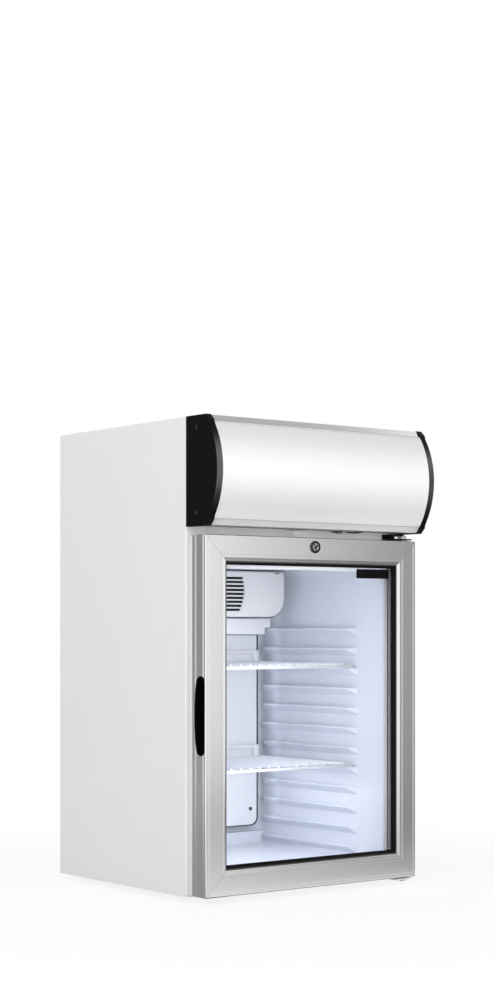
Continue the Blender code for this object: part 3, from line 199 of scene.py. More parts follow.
def lit_diffuser(low, high):
    """Opal sheet lit from behind, brightest along its middle, with painted shade in its colour where it
    meets its trims.
    """
    mat = finish("lit_diffuser", (0.735, 0.735, 0.735), 0.30, grain=300.0, shade=0.004, gloss=0.01,
                 relief=0.0, sockets={"Emission Color": WHITE})
    tree = mat.node_tree
    # Base colour darker towards both ends: painted shade next to the trims
    tone = by_height(tree, low, high, [(0.062, 0.67), (0.10, 0.735), (0.90, 0.725), (0.938, 0.63)])
    glow = by_height(tree, low, high, [(0.17, 0.0), (0.52, 0.22), (0.87, 0.0)])
    feed(tree, tree.nodes["Principled BSDF"], {"Base Color": tone, "Emission Strength": glow})
    return mat


def cap_rim(low, high):
    """Black plastic edge with a painted sheen: its specular level is raised along its middle and falls off
    towards its ends.
    """
    mat = finish("black_abs_rim", (0.004, 0.004, 0.005), 0.30, grain=1500.0, shade=0.15, relief=0.04,
                 sockets={"IOR": 2.2})
    tree = mat.node_tree
    # Specular level by height: painted sheen, highest at mid-height
    painted_sheen = by_height(tree, low, high, [(0.10, 0.02), (0.45, 0.50), (0.60, 0.50), (0.87, 0.02)])
    feed(tree, tree.nodes["Principled BSDF"], {"Specular IOR Level": painted_sheen})
    return mat


# One finish for each of the record's slots

LOOKS = {"clear_glass": clear_glass()}


def keep(slot, *values, **more):
    LOOKS[slot] = finish(slot, *values, **more)


def brushed(name, stretch):
    """Anodised aluminium whose brush lines run along the axis with the small stretch."""
    return finish(name, (0.90, 0.90, 0.905), 0.24, 1.0, 900.0, 6.0, stretch, 0.01, 0.012, 0.006)


def dull(level):
    return {"Specular IOR Level": level}


def white_plastic(name, colour):
    return finish(name, colour, 0.40, grain=1100.0, shade=0.012, relief=0.04)


keep("white_paint", (0.80, 0.80, 0.80), 0.36, grain=900.0, shade=0.012, relief=0.06)
LOOKS["white_abs"] = white_plastic("white_abs", (0.78, 0.79, 0.825))
keep("black_abs", (0.004, 0.004, 0.0045), 0.45, grain=2200.0, shade=0.15, relief=0.10, sockets=dull(0.05))
LOOKS["anodised_aluminium"] = brushed("anodised_aluminium", (1.0, 1.0, 0.015))
keep("polished_chrome", (0.78, 0.78, 0.79), 0.10, 1.0, 400.0, shade=0.03, relief=0.03)
keep("zinc_steel", (0.60, 0.60, 0.60), 0.34, 1.0, 260.0, 60.0, shade=0.10, gloss=0.08)
keep("black_rubber", (0.005, 0.005, 0.005), 0.60, grain=1500.0, shade=0.15, relief=0.20, sockets=dull(0.08))
keep("white_seal", (0.95, 0.95, 0.945), 0.50, grain=1200.0, shade=0.02, relief=0.10)
keep("opal_acrylic", (0.88, 0.89, 0.90), 0.30, grain=500.0, shade=0.01, relief=0.03,
     sockets={"Emission Color": (0.85, 0.92, 1.0, 1.0), "Emission Strength": 0.12})
keep("white_wire_coat", (0.86, 0.87, 0.91), 0.34, grain=800.0, shade=0.02, relief=0.08)
keep("foam", (0.76, 0.67, 0.42), 0.90, grain=350.0, shade=0.10, relief=0.60, depth=0.0008)
keep("black_paint", (0.012, 0.012, 0.013), 0.36, grain=600.0, shade=0.15, relief=0.10, sockets=dull(0.25))
keep("copper_pipe", (0.72, 0.37, 0.22), 0.30, 1.0, 500.0, 40.0, shade=0.15, gloss=0.10)
keep("fin_aluminium", (0.70, 0.70, 0.72), 0.34, 1.0, 500.0, 30.0, shade=0.05)
keep("white_nylon", (0.75, 0.75, 0.72), 0.45, grain=900.0, shade=0.03, relief=0.10)

# Finishes of single pieces and faces

RAIL_LOOK = brushed("anodised_aluminium_level", (0.015, 1.0, 1.0))
# Black that paints the shade in the lock's well, in its key slots and behind the cover's louvre slots
RECESS_SHADE_LOOK = finish("black_painted_shade", (0.004, 0.004, 0.005), 0.80, grain=900.0, shade=0.2, relief=0.20,
                     sockets=dull(0.1))
# Dark blue-grey that paints the shadow gaps around the evaporator cover and beside the duct panel
SHADOW_GAP_LOOK = finish("painted_shadow_gap", (0.008, 0.012, 0.034), 0.70, grain=900.0, shade=0.2, relief=0.10,
                    sockets=dull(0.1))
LOCK_LOOK = finish("dark_chrome", (0.07, 0.07, 0.072), 0.20, 1.0, 400.0, shade=0.05, relief=0.03)
PLUG_LOOK = finish("worn_chrome", (0.62, 0.62, 0.63), 0.18, 1.0, 400.0, shade=0.05, relief=0.05)
BEAD_LOOK = finish("black_rubber_bead", (0.006, 0.006, 0.006), 0.30, grain=1500.0, shade=0.15, relief=0.05,
                   sockets={"IOR": 1.8})
# Darker copies of the door aluminium: painted dimmer reflection and painted shade
SHADED_LOOK = finish("aluminium_painted_dim_reflection", (0.66, 0.66, 0.665), 0.34, 1.0, 900.0, shade=0.02, relief=0.03)
ARRIS_SHADE_LOOK = finish("shaded_aluminium", (0.34, 0.34, 0.345), 0.30, 1.0, 900.0, shade=0.03, relief=0.03)
# Grey for the canopy's bottom trim: painted shade under the canopy
TRIM_SHADE_LOOK = finish("trim_painted_shade", (0.50, 0.50, 0.505), 0.40, grain=900.0, shade=0.012, relief=0.05)
# Copies of the white ABS: the cover's greyer and the liner's darker, bluer colours are painted shade and
# cool light, the tray's brighter colour is painted light
COVER_SHADE_LOOK = white_plastic("white_abs_painted_shade", (0.735, 0.742, 0.755))
LINER_SHADE_LOOK = white_plastic("white_abs_painted_cool_shade", (0.708, 0.738, 0.815))
TRAY_LIGHT_LOOK = white_plastic("white_abs_painted_light", (0.88, 0.89, 0.92))
# Darker copy of the wire coat for the shelves' front rails: painted shade
RAIL_SHADE_COAT = finish("wire_coat_painted_shade", (0.54, 0.555, 0.59), 0.34, grain=800.0, shade=0.02, relief=0.08)

# Making pieces

BODY_OF = {}
for body, members in frame["record"]["behaviour"]["bodies"].items():
    for member in members:
        BODY_OF[member] = body
SLOT_OF = {}
for name, item in frame["nodes"].items():
    SLOT_OF[name] = item.data.materials[0].name.split(".")[0]


def mesh_of(name, bm):
    """Turns a bmesh into a mesh and frees it."""
    mesh = bpy.data.meshes.new(name)
    bm.to_mesh(mesh)
    bm.free()
    return mesh


def put(name, data):
    """A new object in the scene."""
    obj = bpy.data.objects.new(name, data)
    bpy.context.scene.collection.objects.link(obj)
    return obj


def smooth(mesh):
    """Shades a mesh smooth between its sharp edges."""
    mesh.shade_smooth()
    mesh.set_sharp_from_angle(angle=CRISP)


def piece(name, bm, slot, body, stands_for=(), look=None):
    """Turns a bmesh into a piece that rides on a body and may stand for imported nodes."""
    bmesh.ops.recalc_face_normals(bm, faces=bm.faces)
    mesh = mesh_of(name, bm)
    mesh.materials.append(look or LOOKS[slot])
    smooth(mesh)
    obj = put(name, mesh)
    obj.modifiers.new("even_normals", "WEIGHTED_NORMAL").keep_sharp = True
    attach(obj, body)
    if stands_for:
        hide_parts(*stands_for)
    return obj


def stand_in(node, bm, look=None):
    """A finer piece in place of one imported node."""
    return piece(node + "_fine", bm, SLOT_OF[node], BODY_OF[node], (node,), look)


def repaint(obj, look, chosen):
    """Gives a further finish to the faces that are chosen."""
    obj.data.materials.append(look)
    for face in obj.data.polygons:
        if chosen(face):
            face.material_index = len(obj.data.materials) - 1


def merge_flat(bm):
    bmesh.ops.dissolve_limit(bm, angle_limit=FLAT, verts=bm.verts, edges=bm.edges)


def packed_mesh(node):
    bm = bmesh.new()
    bm.from_mesh(frame["nodes"][node].data)
    bmesh.ops.remove_doubles(bm, verts=bm.verts, dist=WELD)
    merge_flat(bm)
    return bm


def soften(bm, width, segments=3, pick=None):
    """Rounds the sharp edges, or those of them that pick chooses."""
    edges = []
    for edge in bm.edges:
        if edge.is_manifold and edge.calc_face_angle() > CRISP and (pick is None or pick(edge)):
            edges.append(edge)
    bmesh.ops.bevel(bm, geom=edges, offset=width, segments=segments, profile=0.5, affect="EDGES",
                    clamp_overlap=True)
    return bm


def spot(axis, u, v, w):
    if axis == "X":
        return (w, u, v)
    if axis == "Y":
        return (u, w, v)
    return (u, v, w)


def ring_at(axis, outline, w):
    """A flat outline set at a station along the axis."""
    return [spot(axis, u, v, w) for u, v in outline]


def skin(rings, path_closed=False, bm=None):
    """Joins closed rings of points with faces; an open path gets a cap at each end."""
    bm = bm or bmesh.new()
    rows = [[bm.verts.new(p) for p in ring] for ring in rings]
    pairs = list(zip(rows, rows[1:]))
    if path_closed:
        pairs.append((rows[-1], rows[0]))
    count = len(rows[0])
    for low, high in pairs:
        for i in range(count):
            j = (i + 1) % count
            bm.faces.new((low[i], low[j], high[j], high[i]))
    if not path_closed:
        bm.faces.new(rows[0])
        bm.faces.new(rows[-1])
    return bm


def rectangle(u0, u1, v0, v1):
    return [(u0, v0), (u1, v0), (u1, v1), (u0, v1)]


def prism(axis, low, high, outline, bm=None):
    return skin([ring_at(axis, outline, w) for w in (low, high)], bm=bm)


def block(x0, x1, y0, y1, z0, z1, bm=None):
    return prism("Z", z0, z1, rectangle(x0, x1, y0, y1), bm)


def upright_loop(x0, x1, z0, z1, y):
    """Rectangle that faces the front."""
    return ring_at("Y", rectangle(x0, x1, z0, z1), y)


def turned(axis, u, v, profile, sides=48, path_closed=False):
    """Revolves (radius, station) points about a line along the axis."""
    rings = []
    for radius, station in profile:
        ring = []
        for i in range(sides):
            angle = 2 * math.pi * i / sides
            ring.append(spot(axis, u + radius * math.cos(angle), v + radius * math.sin(angle), station))
        rings.append(ring)
    return skin(rings, path_closed)


def cylinder(axis, u, v, radius, low, high, sides=48):
    return turned(axis, u, v, [(radius, low), (radius, high)], sides)


def arc(u, v, radius, start, end, steps):
    """Points on a circle from one angle to another, in degrees."""
    points = []
    for i in range(steps + 1):
        angle = math.radians(start + (end - start) * i / steps)
        points.append((u + radius * math.cos(angle), v + radius * math.sin(angle)))
    return points


def rounded(u0, u1, v0, v1, low, high, steps=8):
    """Rectangle with one radius at its low corners and one at its high corners."""
    points = arc(u1 - low, v0 + low, low, -90, 0, steps)
    points += arc(u1 - high, v1 - high, high, 0, 90, steps)
    points += arc(u0 + high, v1 - high, high, 90, 180, steps)
    return points + arc(u0 + low, v0 + low, low, 180, 270, steps)


def carve(obj, bm, operation="DIFFERENCE"):
    """Cuts a closed shape out of a piece, or joins it on, for good."""
    bmesh.ops.recalc_face_normals(bm, faces=bm.faces)
    cutter = put("cutter", mesh_of("cutter", bm))
    even = obj.modifiers[0]
    even.show_viewport = False
    step = obj.modifiers.new("carve", "BOOLEAN")
    step.operation = operation
    step.solver = "EXACT"
    step.object = cutter
    carved = bpy.data.meshes.new_from_object(obj.evaluated_get(bpy.context.evaluated_depsgraph_get()))
    obj.modifiers.remove(step)
    even.show_viewport = True
    old = obj.data
    obj.data = carved
    carved.name = old.name
    bpy.data.meshes.remove(old)
    bpy.data.objects.remove(cutter)
    smooth(carved)


def rod(points, radius, sides=10, bm=None):
    """A round bar along a row of points."""
    path = [Vector(p) for p in points]
    rings = []
    side = None
    for i, here in enumerate(path):
        along = (path[min(i + 1, len(path) - 1)] - path[max(i - 1, 0)]).normalized()
        if side is None:
            side = along.orthogonal().normalized()
        side = (side - along * side.dot(along)).normalized()
        across = along.cross(side)
        ring = []
        for k in range(sides):
            angle = 2 * math.pi * k / sides
            ring.append(here + (side * math.cos(angle) + across * math.sin(angle)) * radius)
        rings.append(ring)
    return skin(rings, bm=bm)


# Cabinet

SHELL_ROUND = 0.0028


def shell_edge(edge):
    """True on the folded outer edges of the shell: front uprights and the rim of its top."""
    first, second = (vert.co for vert in edge.verts)

    def on(axis, value):
        return abs(first[axis] - value) < FIT and abs(second[axis] - value) < FIT
    side = on(0, -HALF) or on(0, HALF)
    return (side and on(1, BODY_FRONT)) or (on(2, TOP) and (side or on(1, BODY_FRONT)))


stand_in("outer_shell", soften(packed_mesh("outer_shell"), SHELL_ROUND, 4, shell_edge))

CORNER = 0.011
REAR_CORNER = 0.008
FRONT_ROLL = 0.002


def liner_ring(grow, y):
    outline = rounded(-INSIDE_X - grow, INSIDE_X + grow, FLOOR - grow, CEILING + grow, CORNER, CORNER)
    return ring_at("Y", outline, y)


def make_liner():
    rings = []
    for u, v in arc(0.0, 0.0, REAR_CORNER, 90, 0, 6):
        rings.append(liner_ring(u - REAR_CORNER, INSIDE_REAR - REAR_CORNER + v))
    flange = INSIDE_FRONT + LINER
    for grow, y in ((0.0, INSIDE_FRONT + FRONT_ROLL), (FRONT_ROLL, INSIDE_FRONT), (LIP, INSIDE_FRONT),
                    (LIP, flange), (LINER, flange), (LINER, INSIDE_REAR + LINER)):
        rings.append(liner_ring(grow, y))
    stand_in("inner_liner", skin(rings), LINER_SHADE_LOOK)


make_liner()

RIB_PITCH = 0.0295
RIB_REACH = 0.010
RIB_SLOPE = RIB_REACH * 1.3
RIB_EDGE = 0.0025
RIB_DROP = 0.0125
RIB_SETBACK = 0.058
RIB_REAR_GAP = 0.004
RIB_COUNT = 12
LOW_RIB = FLOOR + 0.014
RIB_ROUND = 0.0012
ROOT = INSIDE_X + LINER / 2


def rib(side, top):
    """Moulded shelf rib with sloped ends and a sloped underside."""
    wall = side * ROOT
    tip = side * (INSIDE_X - RIB_REACH)
    front = BODY_FRONT + RIB_SETBACK
    rear = INSIDE_REAR - RIB_REAR_GAP
    points = []
    for z in (top, top - RIB_EDGE):
        points += [(wall, front, z), (tip, front + RIB_SLOPE, z),
                   (tip, rear - RIB_SLOPE, z), (wall, rear, z)]
    points += [(wall, front, top - RIB_DROP), (wall, rear, top - RIB_DROP)]
    bm = bmesh.new()
    bmesh.ops.convex_hull(bm, input=[bm.verts.new(p) for p in points])
    merge_flat(bm)
    return soften(bm, RIB_ROUND)


for name, side in (("liner_ribs_left", -1), ("liner_ribs_right", 1)):
    every = bmesh.new()
    for index in range(RIB_COUNT):
        one = mesh_of("rib", rib(side, LOW_RIB + RIB_PITCH * index))
        every.from_mesh(one)
        bpy.data.meshes.remove(one)
    piece(name, every, "white_abs", "cabinet", look=LINER_SHADE_LOOK)

LEDGE_DEPTH = 0.0105
LEDGE_HEIGHT = 0.0185
LEDGE_ROUND = 0.0025
ledge = block(-ROOT, ROOT, INSIDE_REAR - LEDGE_DEPTH, INSIDE_REAR + LINER / 2, FLOOR - LINER / 2,
              FLOOR + LEDGE_HEIGHT)
piece("liner_ledge", soften(ledge, LEDGE_ROUND), "white_abs", "cabinet", look=LINER_SHADE_LOOK)

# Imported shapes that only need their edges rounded: node, radius and finish, if it isn't the slot's own
for node, width, look in (("interior_lamp", 0.0008, None), ("canopy_top_trim", 0.0002, None),
                          ("light_switch", 0.0006, None),
                          ("hinge_bracket_bottom", 0.0005, LOOKS["white_paint"]),
                          ("hinge_pin_bottom", 0.0003, LOOKS["white_paint"]),
                          ("drip_tray", 0.0008, TRAY_LIGHT_LOOK), ("canopy_bottom_trim", 0.0002, TRIM_SHADE_LOOK)):
    stand_in(node, soften(packed_mesh(node), width, 2), look)

STRIKE_LOW, STRIKE_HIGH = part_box("lock_strike")
STRIKE_RAMP = 0.012
STRIKE_LAP = 0.001
strike = packed_mesh("lock_strike")
prism("Z", STRIKE_LOW.z, STRIKE_HIGH.z,
      [(STRIKE_LOW.x - STRIKE_RAMP, STRIKE_HIGH.y), (STRIKE_LOW.x, STRIKE_LOW.y),
       (STRIKE_LOW.x + STRIKE_LAP, STRIKE_HIGH.y)], strike)
stand_in("lock_strike", strike)

BRACKET_LOW, BRACKET_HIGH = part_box("hinge_bracket_top")
PLATE_TOP = BRACKET_LOW.z + 0.002
WEB_START = 0.007
WEB_DEPTH = 0.0155
WEB_LAP = 0.001
WEB_ROUND = 0.0001
BRACKET_ROUND = 0.0004
bracket = soften(packed_mesh("hinge_bracket_top"), BRACKET_ROUND, 2)
web = block(BRACKET_LOW.x + WEB_START, BRACKET_HIGH.x, BRACKET_HIGH.y - WEB_DEPTH,
            BRACKET_HIGH.y - WEB_LAP, PLATE_TOP - WEB_LAP, BRACKET_HIGH.z, bracket)
stand_in("hinge_bracket_top", soften(web, WEB_ROUND))

# Canopy

CAP_LOW, CAP_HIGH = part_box("canopy_end_left")
CANOPY_FRONT = CAP_LOW.y
CANOPY_BACK = CAP_HIGH.y
CANOPY_LOW = CAP_LOW.z
CANOPY_TOP = CAP_HIGH.z
CAP_WIDTH = CAP_HIGH.x - CAP_LOW.x
CAP_X = -CAP_LOW.x
SHOULDER = CANOPY_FRONT + 0.027
CURVE_END = CANOPY_FRONT + 0.0205
BROW = 0.0092
KNUCKLE = 0.0013
KNUCKLE_OUT = 0.0016
KNUCKLE_IN = 0.0012
CAP_DROP = 0.0007
CAP_ROUND = 0.0008
CAP_WALL = 0.0025
DIFFUSER_INSET = 0.0004
DIFFUSER_WALL = 0.002


def bow(inset, steps=40):
    """Front curve of the canopy from top to bottom as (y, z), moved in by the inset."""
    half = (CANOPY_TOP - CANOPY_LOW) / 2 - BROW
    rise = CURVE_END - CANOPY_FRONT
    radius = (half * half + rise * rise) / (2 * rise)
    opening = math.degrees(math.asin(half / radius))
    middle = (CANOPY_TOP + CANOPY_LOW) / 2
    return arc(CANOPY_FRONT + inset + radius, middle, radius, 180 - opening, 180 + opening, steps)


def inset_loop(points, distance):
    """Moves a closed anticlockwise outline in by a distance, corner by corner."""
    moved = []
    count = len(points)
    for i in range(count):
        before = Vector(points[i]) - Vector(points[i - 1])
        after = Vector(points[(i + 1) % count]) - Vector(points[i])
        before.normalize()
        after.normalize()
        first = Vector((-before.y, before.x))
        second = Vector((-after.y, after.x))
        share = 1.0 + first.dot(second)
        moved.append(tuple(Vector(points[i]) + (first + second) * (distance / share)))
    return moved


def cap_outline():
    """Side view of an end cap, whose corners stand slightly proud of its front curve."""
    curve = bow(0.0)
    high_y, high_z = curve[0]
    low_y, low_z = curve[-1]
    low = CANOPY_LOW - CAP_DROP
    corner_top = [(SHOULDER, CANOPY_TOP), (high_y - KNUCKLE, high_z + KNUCKLE_OUT),
                  (high_y - KNUCKLE, high_z - KNUCKLE_IN)]
    corner_low = [(low_y - KNUCKLE, low_z + KNUCKLE_IN), (low_y - KNUCKLE, low_z - KNUCKLE_OUT),
                  (SHOULDER, low)]
    return [(CANOPY_BACK, CANOPY_TOP)] + corner_top + curve[2:-2] + corner_low + [(CANOPY_BACK, low)]


RIM_LOOK = cap_rim(CANOPY_LOW, CANOPY_TOP)


def make_cap(node, side):
    """End cap with rounded outer edges, hollow towards the canopy."""
    outline = cap_outline()
    rings = []
    for u, v in arc(0.0, 0.0, CAP_ROUND, 90, 0, 4):
        rings.append(ring_at("X", inset_loop(outline, CAP_ROUND - u), side * (CAP_X - CAP_ROUND + v)))
    inner = side * (CAP_X - CAP_WIDTH)
    hollow = inset_loop(outline, CAP_WALL)
    rings.append(ring_at("X", outline, inner))
    rings.append(ring_at("X", hollow, inner))
    rings.append(ring_at("X", hollow, side * (CAP_X - CAP_WALL)))
    # The front faces take the rim finish with its painted sheen
    repaint(stand_in(node, skin(rings)), RIM_LOOK, lambda face: face.normal.y < -0.5)


make_cap("canopy_end_left", -1)
make_cap("canopy_end_right", 1)

DIFFUSER_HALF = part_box("canopy_diffuser")[1].x
sheet = bow(DIFFUSER_INSET) + bow(DIFFUSER_INSET + DIFFUSER_WALL)[::-1]
stand_in("canopy_diffuser", prism("X", -DIFFUSER_HALF, DIFFUSER_HALF, sheet),
         lit_diffuser(CANOPY_LOW, CANOPY_TOP))

# Door

ARRIS = 0.0016
SIDE_INSET = 0.0004
SIDE_RIDGES = (DOOR_DEPTH - 0.0054, 0.0074)
REBATE = 0.0085
REBATE_FRONT = 0.0052
BACK_WALL = 0.003
BACK_INSET = 0.004
RAIL_LINE = 0.0001
STILE_LINE = 0.0006
MITRE_GAP = 0.0002


def bar_profile(line):
    """Door frame section as (distance in from the outer edge, distance back from the front).

    The front has a fine groove near its outer edge, as deep as line, then a low step and a bevel
    towards the glass.
    """
    edge = FRAME_FACE
    back = DOOR_DEPTH - BACK_WALL
    face = [(0.0044, 0.0), (0.0050, line), (0.0058, line), (0.0064, 0.0), (edge - 0.0092, 0.0),
            (edge - 0.0087, 0.0006), (edge - 0.0048, 0.0006), (edge - 0.0044, 0.0002)]
    inner = [(edge - 0.0006, 0.0016), (edge, 0.0022), (edge, REBATE_FRONT), (edge - REBATE, REBATE_FRONT),
             (edge - REBATE, back), (edge - BACK_INSET, back), (edge - BACK_INSET, DOOR_DEPTH)]
    side = [(SIDE_INSET, DOOR_DEPTH)]
    for start in SIDE_RIDGES:
        side += [(SIDE_INSET, start), (0.0002, start - 0.0003), (0.00054, start - 0.0027),
                 (SIDE_INSET, start - 0.0029)]
    side += [(SIDE_INSET, 0.0030), (0.0, 0.0027)]
    return face + inner + side + arc(ARRIS, ARRIS, ARRIS, 180, 270, 5)


def bar(node, place, look, line):
    rings = [[place(u, v, far) for u, v in bar_profile(line)] for far in (False, True)]
    return stand_in(node, skin(rings), look)


def rail(top):
    def place(u, v, far):
        x = DOOR_HALF - u - MITRE_GAP
        return (x if far else -x, DOOR_FRONT + v, DOOR_TOP - u if top else DOOR_BOTTOM + u)
    return place


def stile(side):
    def place(u, v, far):
        z = DOOR_TOP - u - MITRE_GAP if far else DOOR_BOTTOM + u + MITRE_GAP
        return (side * (DOOR_HALF - u), DOOR_FRONT + v, z)
    return place


rail_top = bar("door_rail_top", rail(True), RAIL_LOOK, RAIL_LINE)
rail_bottom = bar("door_rail_bottom", rail(False), RAIL_LOOK, RAIL_LINE)
stile_left = bar("door_stile_left", stile(-1), LOOKS["anodised_aluminium"], STILE_LINE)
stile_right = bar("door_stile_right", stile(1), LOOKS["anodised_aluminium"], STILE_LINE)

HANDLE_LOW, HANDLE_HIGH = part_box("handle_insert")
HANDLE_WALL = 0.0015
HANDLE_END = 0.0085
HANDLE_TAPER = 0.22
HANDLE_STEPS = 64


def handle_outline(inset):
    """Finger pull seen from the door's edge: straight front, bulged rear and round ends, as (y, z)."""
    half = (HANDLE_HIGH.z - HANDLE_LOW.z) / 2
    middle = (HANDLE_HIGH.z + HANDLE_LOW.z) / 2
    width = HANDLE_HIGH.y - HANDLE_LOW.y
    rear = []
    front = []
    for i in range(1, HANDLE_STEPS):
        share = math.sin(math.pi * (i / HANDLE_STEPS - 0.5))
        left = half * (1.0 - abs(share))
        turn = HANDLE_END - math.sqrt(HANDLE_END ** 2 - max(0.0, HANDLE_END - left) ** 2)
        reach = width * (1.0 - HANDLE_TAPER * share * share)
        rear.append((HANDLE_LOW.y + reach - turn, middle + half * share))
        front.append((HANDLE_LOW.y + turn, middle + half * share))
    return inset_loop(rear + front[::-1], inset)


def make_handle():
    carve(stile_left, prism("X", -DOOR_HALF - PAST, HANDLE_HIGH.x + FIT, handle_outline(-FIT)))
    outer = handle_outline(0.0)
    inner = handle_outline(HANDLE_WALL)
    rings = [ring_at("X", outer, HANDLE_HIGH.x), ring_at("X", outer, HANDLE_LOW.x),
             ring_at("X", inner, HANDLE_LOW.x), ring_at("X", inner, HANDLE_HIGH.x - HANDLE_WALL)]
    repaint(stand_in("handle_insert", skin(rings)), LOOKS["black_rubber"], lambda face: face.normal.y > 0.5)


make_handle()

LOCK_LOW, LOCK_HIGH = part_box("lock_barrel")
PLUG_LOW, PLUG_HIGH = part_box("lock_plug")
LOCK_Z = (LOCK_LOW.z + LOCK_HIGH.z) / 2
LOCK_RADIUS = 0.00775
LOCK_BEZEL = LOCK_HIGH.x
BEZEL_ROUND = 0.0011
LOCK_WELL = 0.0066
WELL_DEPTH = 0.0014
WELL_TAPER = 0.0003
PLUG_RADIUS = 0.0057
PLUG_FACE = 0.0053
CAM_THICK = 0.0022
CAM_ROUND = 0.004
# Recesses in the plug's face: angle in degrees, half width, and where each starts and ends
KEY_SLOTS = ((38, 0.0013, -0.0030, 0.0044), (128, 0.0011, 0.0020, 0.0047), (-80, 0.0011, 0.0022, 0.0048))


def from_lock(point):
    """Distance from the lock's axis."""
    return math.hypot(point.x, point.z - LOCK_Z)


def make_barrel():
    carve(rail_top, cylinder("Y", 0.0, LOCK_Z, LOCK_RADIUS + FIT, DOOR_FRONT - PAST, DOOR_REAR + PAST))
    face = DOOR_FRONT - FIT
    bore = PLUG_RADIUS + FIT / 2
    well = LOCK_LOW.y + WELL_DEPTH
    profile = [(bore, LOCK_HIGH.y), (LOCK_RADIUS, LOCK_HIGH.y), (LOCK_RADIUS, face), (LOCK_BEZEL, face)]
    for u, v in arc(0.0, 0.0, BEZEL_ROUND, 0, 90, 4):
        profile.append((LOCK_BEZEL - BEZEL_ROUND + u, LOCK_LOW.y + BEZEL_ROUND - v))
    profile += [(LOCK_WELL, LOCK_LOW.y), (LOCK_WELL - WELL_TAPER, well), (bore, well)]
    barrel = stand_in("lock_barrel", turned("Y", 0.0, LOCK_Z, profile, 64, True), LOCK_LOOK)
    # The well around the plug is painted black as shade
    repaint(barrel, RECESS_SHADE_LOOK, lambda part: from_lock(part.center) < LOCK_WELL and part.center.y < face)


def make_plug():
    front = PLUG_LOW.y
    cam = PLUG_HIGH.y - CAM_THICK
    rim = [(PLUG_FACE, front), (PLUG_RADIUS, front + 0.0006), (PLUG_RADIUS, cam + 0.001)]
    plug = stand_in("lock_plug", turned("Y", 0.0, LOCK_Z, rim, 64), PLUG_LOOK)
    for turn, wide, near, far in KEY_SLOTS:
        along = Vector((math.cos(math.radians(turn)), math.sin(math.radians(turn))))
        across = Vector((-along.y, along.x))
        outline = []
        for u, v in rectangle(near, far, -wide, wide):
            corner = along * u + across * v
            outline.append((corner.x, LOCK_Z + corner.y))
        carve(plug, prism("Y", front - PAST, front + 0.0016 + wide, outline))
    arm = rounded(PLUG_LOW.x, PLUG_HIGH.x, PLUG_LOW.z, PLUG_HIGH.z, CAM_ROUND, CAM_ROUND, 6)
    carve(plug, prism("Y", cam, PLUG_HIGH.y, arm), "UNION")
    # The key slots' walls and floors are painted black as shade
    repaint(plug, RECESS_SHADE_LOOK, lambda part: front + 0.0001 < part.center.y < front + 0.004
            and from_lock(part.center) < PLUG_FACE)


make_barrel()
make_plug()

BUSH_LOW, BUSH_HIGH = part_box("door_bush_top")
PIVOT_X = (BUSH_LOW.x + BUSH_HIGH.x) / 2
PIVOT_Y = (BUSH_LOW.y + BUSH_HIGH.y) / 2
BUSH_SEAT = 0.0063
SEAT_DEPTH = 0.018
for bars, low, high in (((rail_top, stile_right), DOOR_TOP - SEAT_DEPTH, DOOR_TOP + PAST),
                        ((rail_bottom, stile_right), DOOR_BOTTOM - PAST, DOOR_BOTTOM + SEAT_DEPTH)):
    for part in bars:
        carve(part, cylinder("Z", PIVOT_X, PIVOT_Y, BUSH_SEAT, low, high))

# Darker copies of the aluminium on outer arrises and on the bottom rail's step: painted shade and painted
# dimmer reflection
NEAR_EDGE = 0.0022
STEP_DEPTH = 0.002
STEP_START = 0.010
repaint(rail_top, ARRIS_SHADE_LOOK, lambda face: face.normal.z > 0.35 and face.center.z > DOOR_TOP - NEAR_EDGE)
repaint(rail_bottom, ARRIS_SHADE_LOOK,
        lambda face: face.normal.z < -0.15 and face.center.z < DOOR_BOTTOM + NEAR_EDGE)
repaint(rail_bottom, SHADED_LOOK,
        lambda face: face.normal.z > 0.35 and face.center.y < DOOR_FRONT + STEP_DEPTH
        and face.center.z > DOOR_BOTTOM + STEP_START)
repaint(stile_right, SHADED_LOOK,
        lambda face: face.normal.x > 0.15 and face.center.x > DOOR_HALF - NEAR_EDGE
        and face.center.y < DOOR_FRONT + NEAR_EDGE)

SEAL_LOW, SEAL_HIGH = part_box("door_gasket")
SEAL_WIDTH = 0.015
SEAL_PROUD = 0.0022
SEAL_TOP = DOOR_TOP - SEAL_PROUD - 0.0010
SEAL_FOOT = -DOOR_HALF - SEAL_LOW.x + SEAL_PROUD + 0.0008
# Outer side of the seal: distance in, and share of its depth from door to cabinet
SEAL_SIDE = [(SEAL_FOOT, 0.0), (SEAL_FOOT, 0.36), (0.0026, 0.40), (0.0010, 0.48), (0.0008, 0.56),
             (0.0024, 0.62), (0.0010, 0.68), (0.0, 0.80), (0.0008, 0.94), (0.0030, 1.0)]


def seal_loop(inset, y):
    return upright_loop(SEAL_LOW.x + inset, SEAL_HIGH.x - inset, SEAL_LOW.z + inset, SEAL_TOP - inset, y)


def make_seal():
    """Magnetic seal with a narrow foot on the door, a bellows fold and a soft cushion on the cabinet."""
    deep = SEAL_HIGH.y - SEAL_LOW.y
    profile = [(inset - SEAL_PROUD, SEAL_LOW.y + deep * share) for inset, share in SEAL_SIDE]
    profile += [(SEAL_WIDTH - inset, SEAL_LOW.y + deep * share) for inset, share in reversed(SEAL_SIDE)]
    seal = stand_in("door_gasket", skin([seal_loop(inset, y) for inset, y in profile], True))
    foot = SEAL_LOW.y + deep * 0.30
    repaint(seal, LOOKS["anodised_aluminium"],
            lambda face: face.center.y < foot and face.normal.x < -0.9 and face.center.x < 0.0)


make_seal()

GLAZING_LOW, GLAZING_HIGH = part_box("glazing_gasket")
GLAZING_SEAT = FRAME_FACE - 0.0075
GLAZING_TIP = FRAME_FACE + 0.0053
GLAZING_NOSE = DOOR_FRONT + 0.0022
SHOW_LOW = 0.0012


